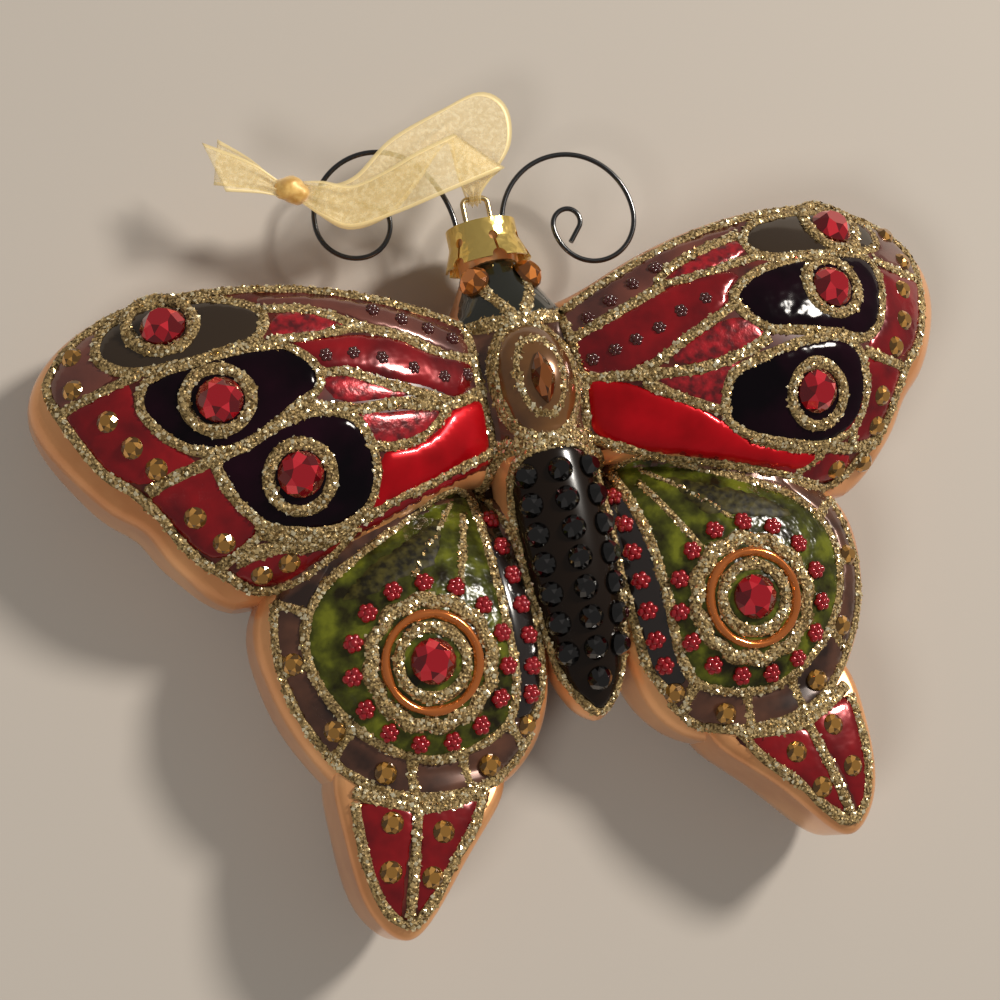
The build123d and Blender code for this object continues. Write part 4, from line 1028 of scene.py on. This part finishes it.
sheer_gold = principled("sheer_gold", (0.85, 0.66, 0.28), 0.4, metallic=0.1, alpha=0.33, sheen_weight=0.4)
link_noise(sheer_gold, 1500, [(0.4, (0.78, 0.59, 0.24)), (0.68, (0.98, 0.82, 0.46))])
selvedge_gold = principled(
    "selvedge_gold", (0.92, 0.74, 0.36), 0.4, metallic=0.1, alpha=0.6, sheen_weight=0.4
)
knot_gold = principled("knot_gold", (0.72, 0.42, 0.10), 0.42, metallic=0.1, sheen_weight=0.5)
link_noise(knot_gold, 900, [(0.35, (0.58, 0.32, 0.07)), (0.7, (0.86, 0.56, 0.17))])
loop = cloth("ribbon_loop", BACK_RUN + BIGHT + FRONT_RUN)
ends = [cloth(f"ribbon_{name}", stations) for name, stations in ENDS.items()]
tied = knot()
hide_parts("hanging_ribbon")


# Solids that show as they are

def finish_node(name, material):
    """Give a solid of the frame its material."""
    solid = nodes[name]
    solid.data.materials.clear()
    solid.data.materials.append(material)


finish_node("glass_shell", lacquer)
finish_node("crown_cap", gold_leaf)
finish_node("hanger_wire", bright_wire)
finish_node("left_antenna", black_wire)
finish_node("right_antenna", black_wire)


# Stage, light and camera

CAMERA_PLACE = (-0.1029, -0.0517, 0.3165)
CAMERA_AIM = (-0.0059, -0.0160, 0.0100)
CAMERA_UP = (0.1688, 0.9715, 0.1666)
CAMERA_LENS = 78.1
SENSOR_WIDTH = 36
NEAREST = 0.01
FLOOR_HALF = 3000  # in mm, like all points of add_mesh
FLOOR_DROP = 0.0003  # keeps the floor clear of the flat back
KEY_LIGHT = {"place": (0.58, 0.26, 0.63), "size": 0.17, "power": 8.0, "colour": (1.0, 0.94, 0.86)}
FILL_LIGHT = {"place": (-0.50, -0.30, 0.62), "size": 0.25, "power": 2.6, "colour": (1.0, 0.97, 0.92)}
WORLD_COLOUR = (1.0, 0.97, 0.93, 1)
WORLD_STRENGTH = 0.21

floor_material = principled("pale_cloth", (0.45, 0.41, 0.365), 0.9)
corners = [(FLOOR_HALF * x, FLOOR_HALF * y, 0) for x, y in ((-1, -1), (1, -1), (1, 1), (-1, 1))]
floor = add_mesh("floor", corners, [(0, 1, 2, 3)], [floor_material], smooth=False)
floor.location.z = -FLOOR_DROP


def lamp(name, place, size, power, colour):
    """A round area lamp at a place, facing the middle."""
    data = bpy.data.lights.new(name, "AREA")
    data.shape = "DISK"
    data.size = size
    data.energy = power
    data.color = colour
    thing = bpy.data.objects.new(name, data)
    bpy.context.scene.collection.objects.link(thing)
    thing.location = place
    thing.rotation_euler = (-Vector(place)).to_track_quat("-Z", "Y").to_euler()
    return thing


lamp("key", **KEY_LIGHT)
fill = lamp("fill", **FILL_LIGHT)
fill.visible_glossy = False
world = bpy.data.worlds.new("studio")
bpy.context.scene.world = world
world.use_nodes = True
background = world.node_tree.nodes["Background"]
background.inputs["Color"].default_value = WORLD_COLOUR
background.inputs["Strength"].default_value = WORLD_STRENGTH

forward = (Vector(CAMERA_AIM) - Vector(CAMERA_PLACE)).normalized()
right = forward.cross(Vector(CAMERA_UP)).normalized()
upward = right.cross(forward)
camera_data = bpy.data.cameras.new("camera")
camera_data.lens = CAMERA_LENS
camera_data.sensor_width = SENSOR_WIDTH
camera_data.clip_start = NEAREST
camera = bpy.data.objects.new("camera", camera_data)
bpy.context.scene.collection.objects.link(camera)
turned = Matrix((right, upward, -forward)).transposed().to_4x4()
camera.matrix_world = Matrix.Translation(CAMERA_PLACE) @ turned
bpy.context.scene.camera = camera
bpy.context.scene.view_settings.view_transform = "Standard"
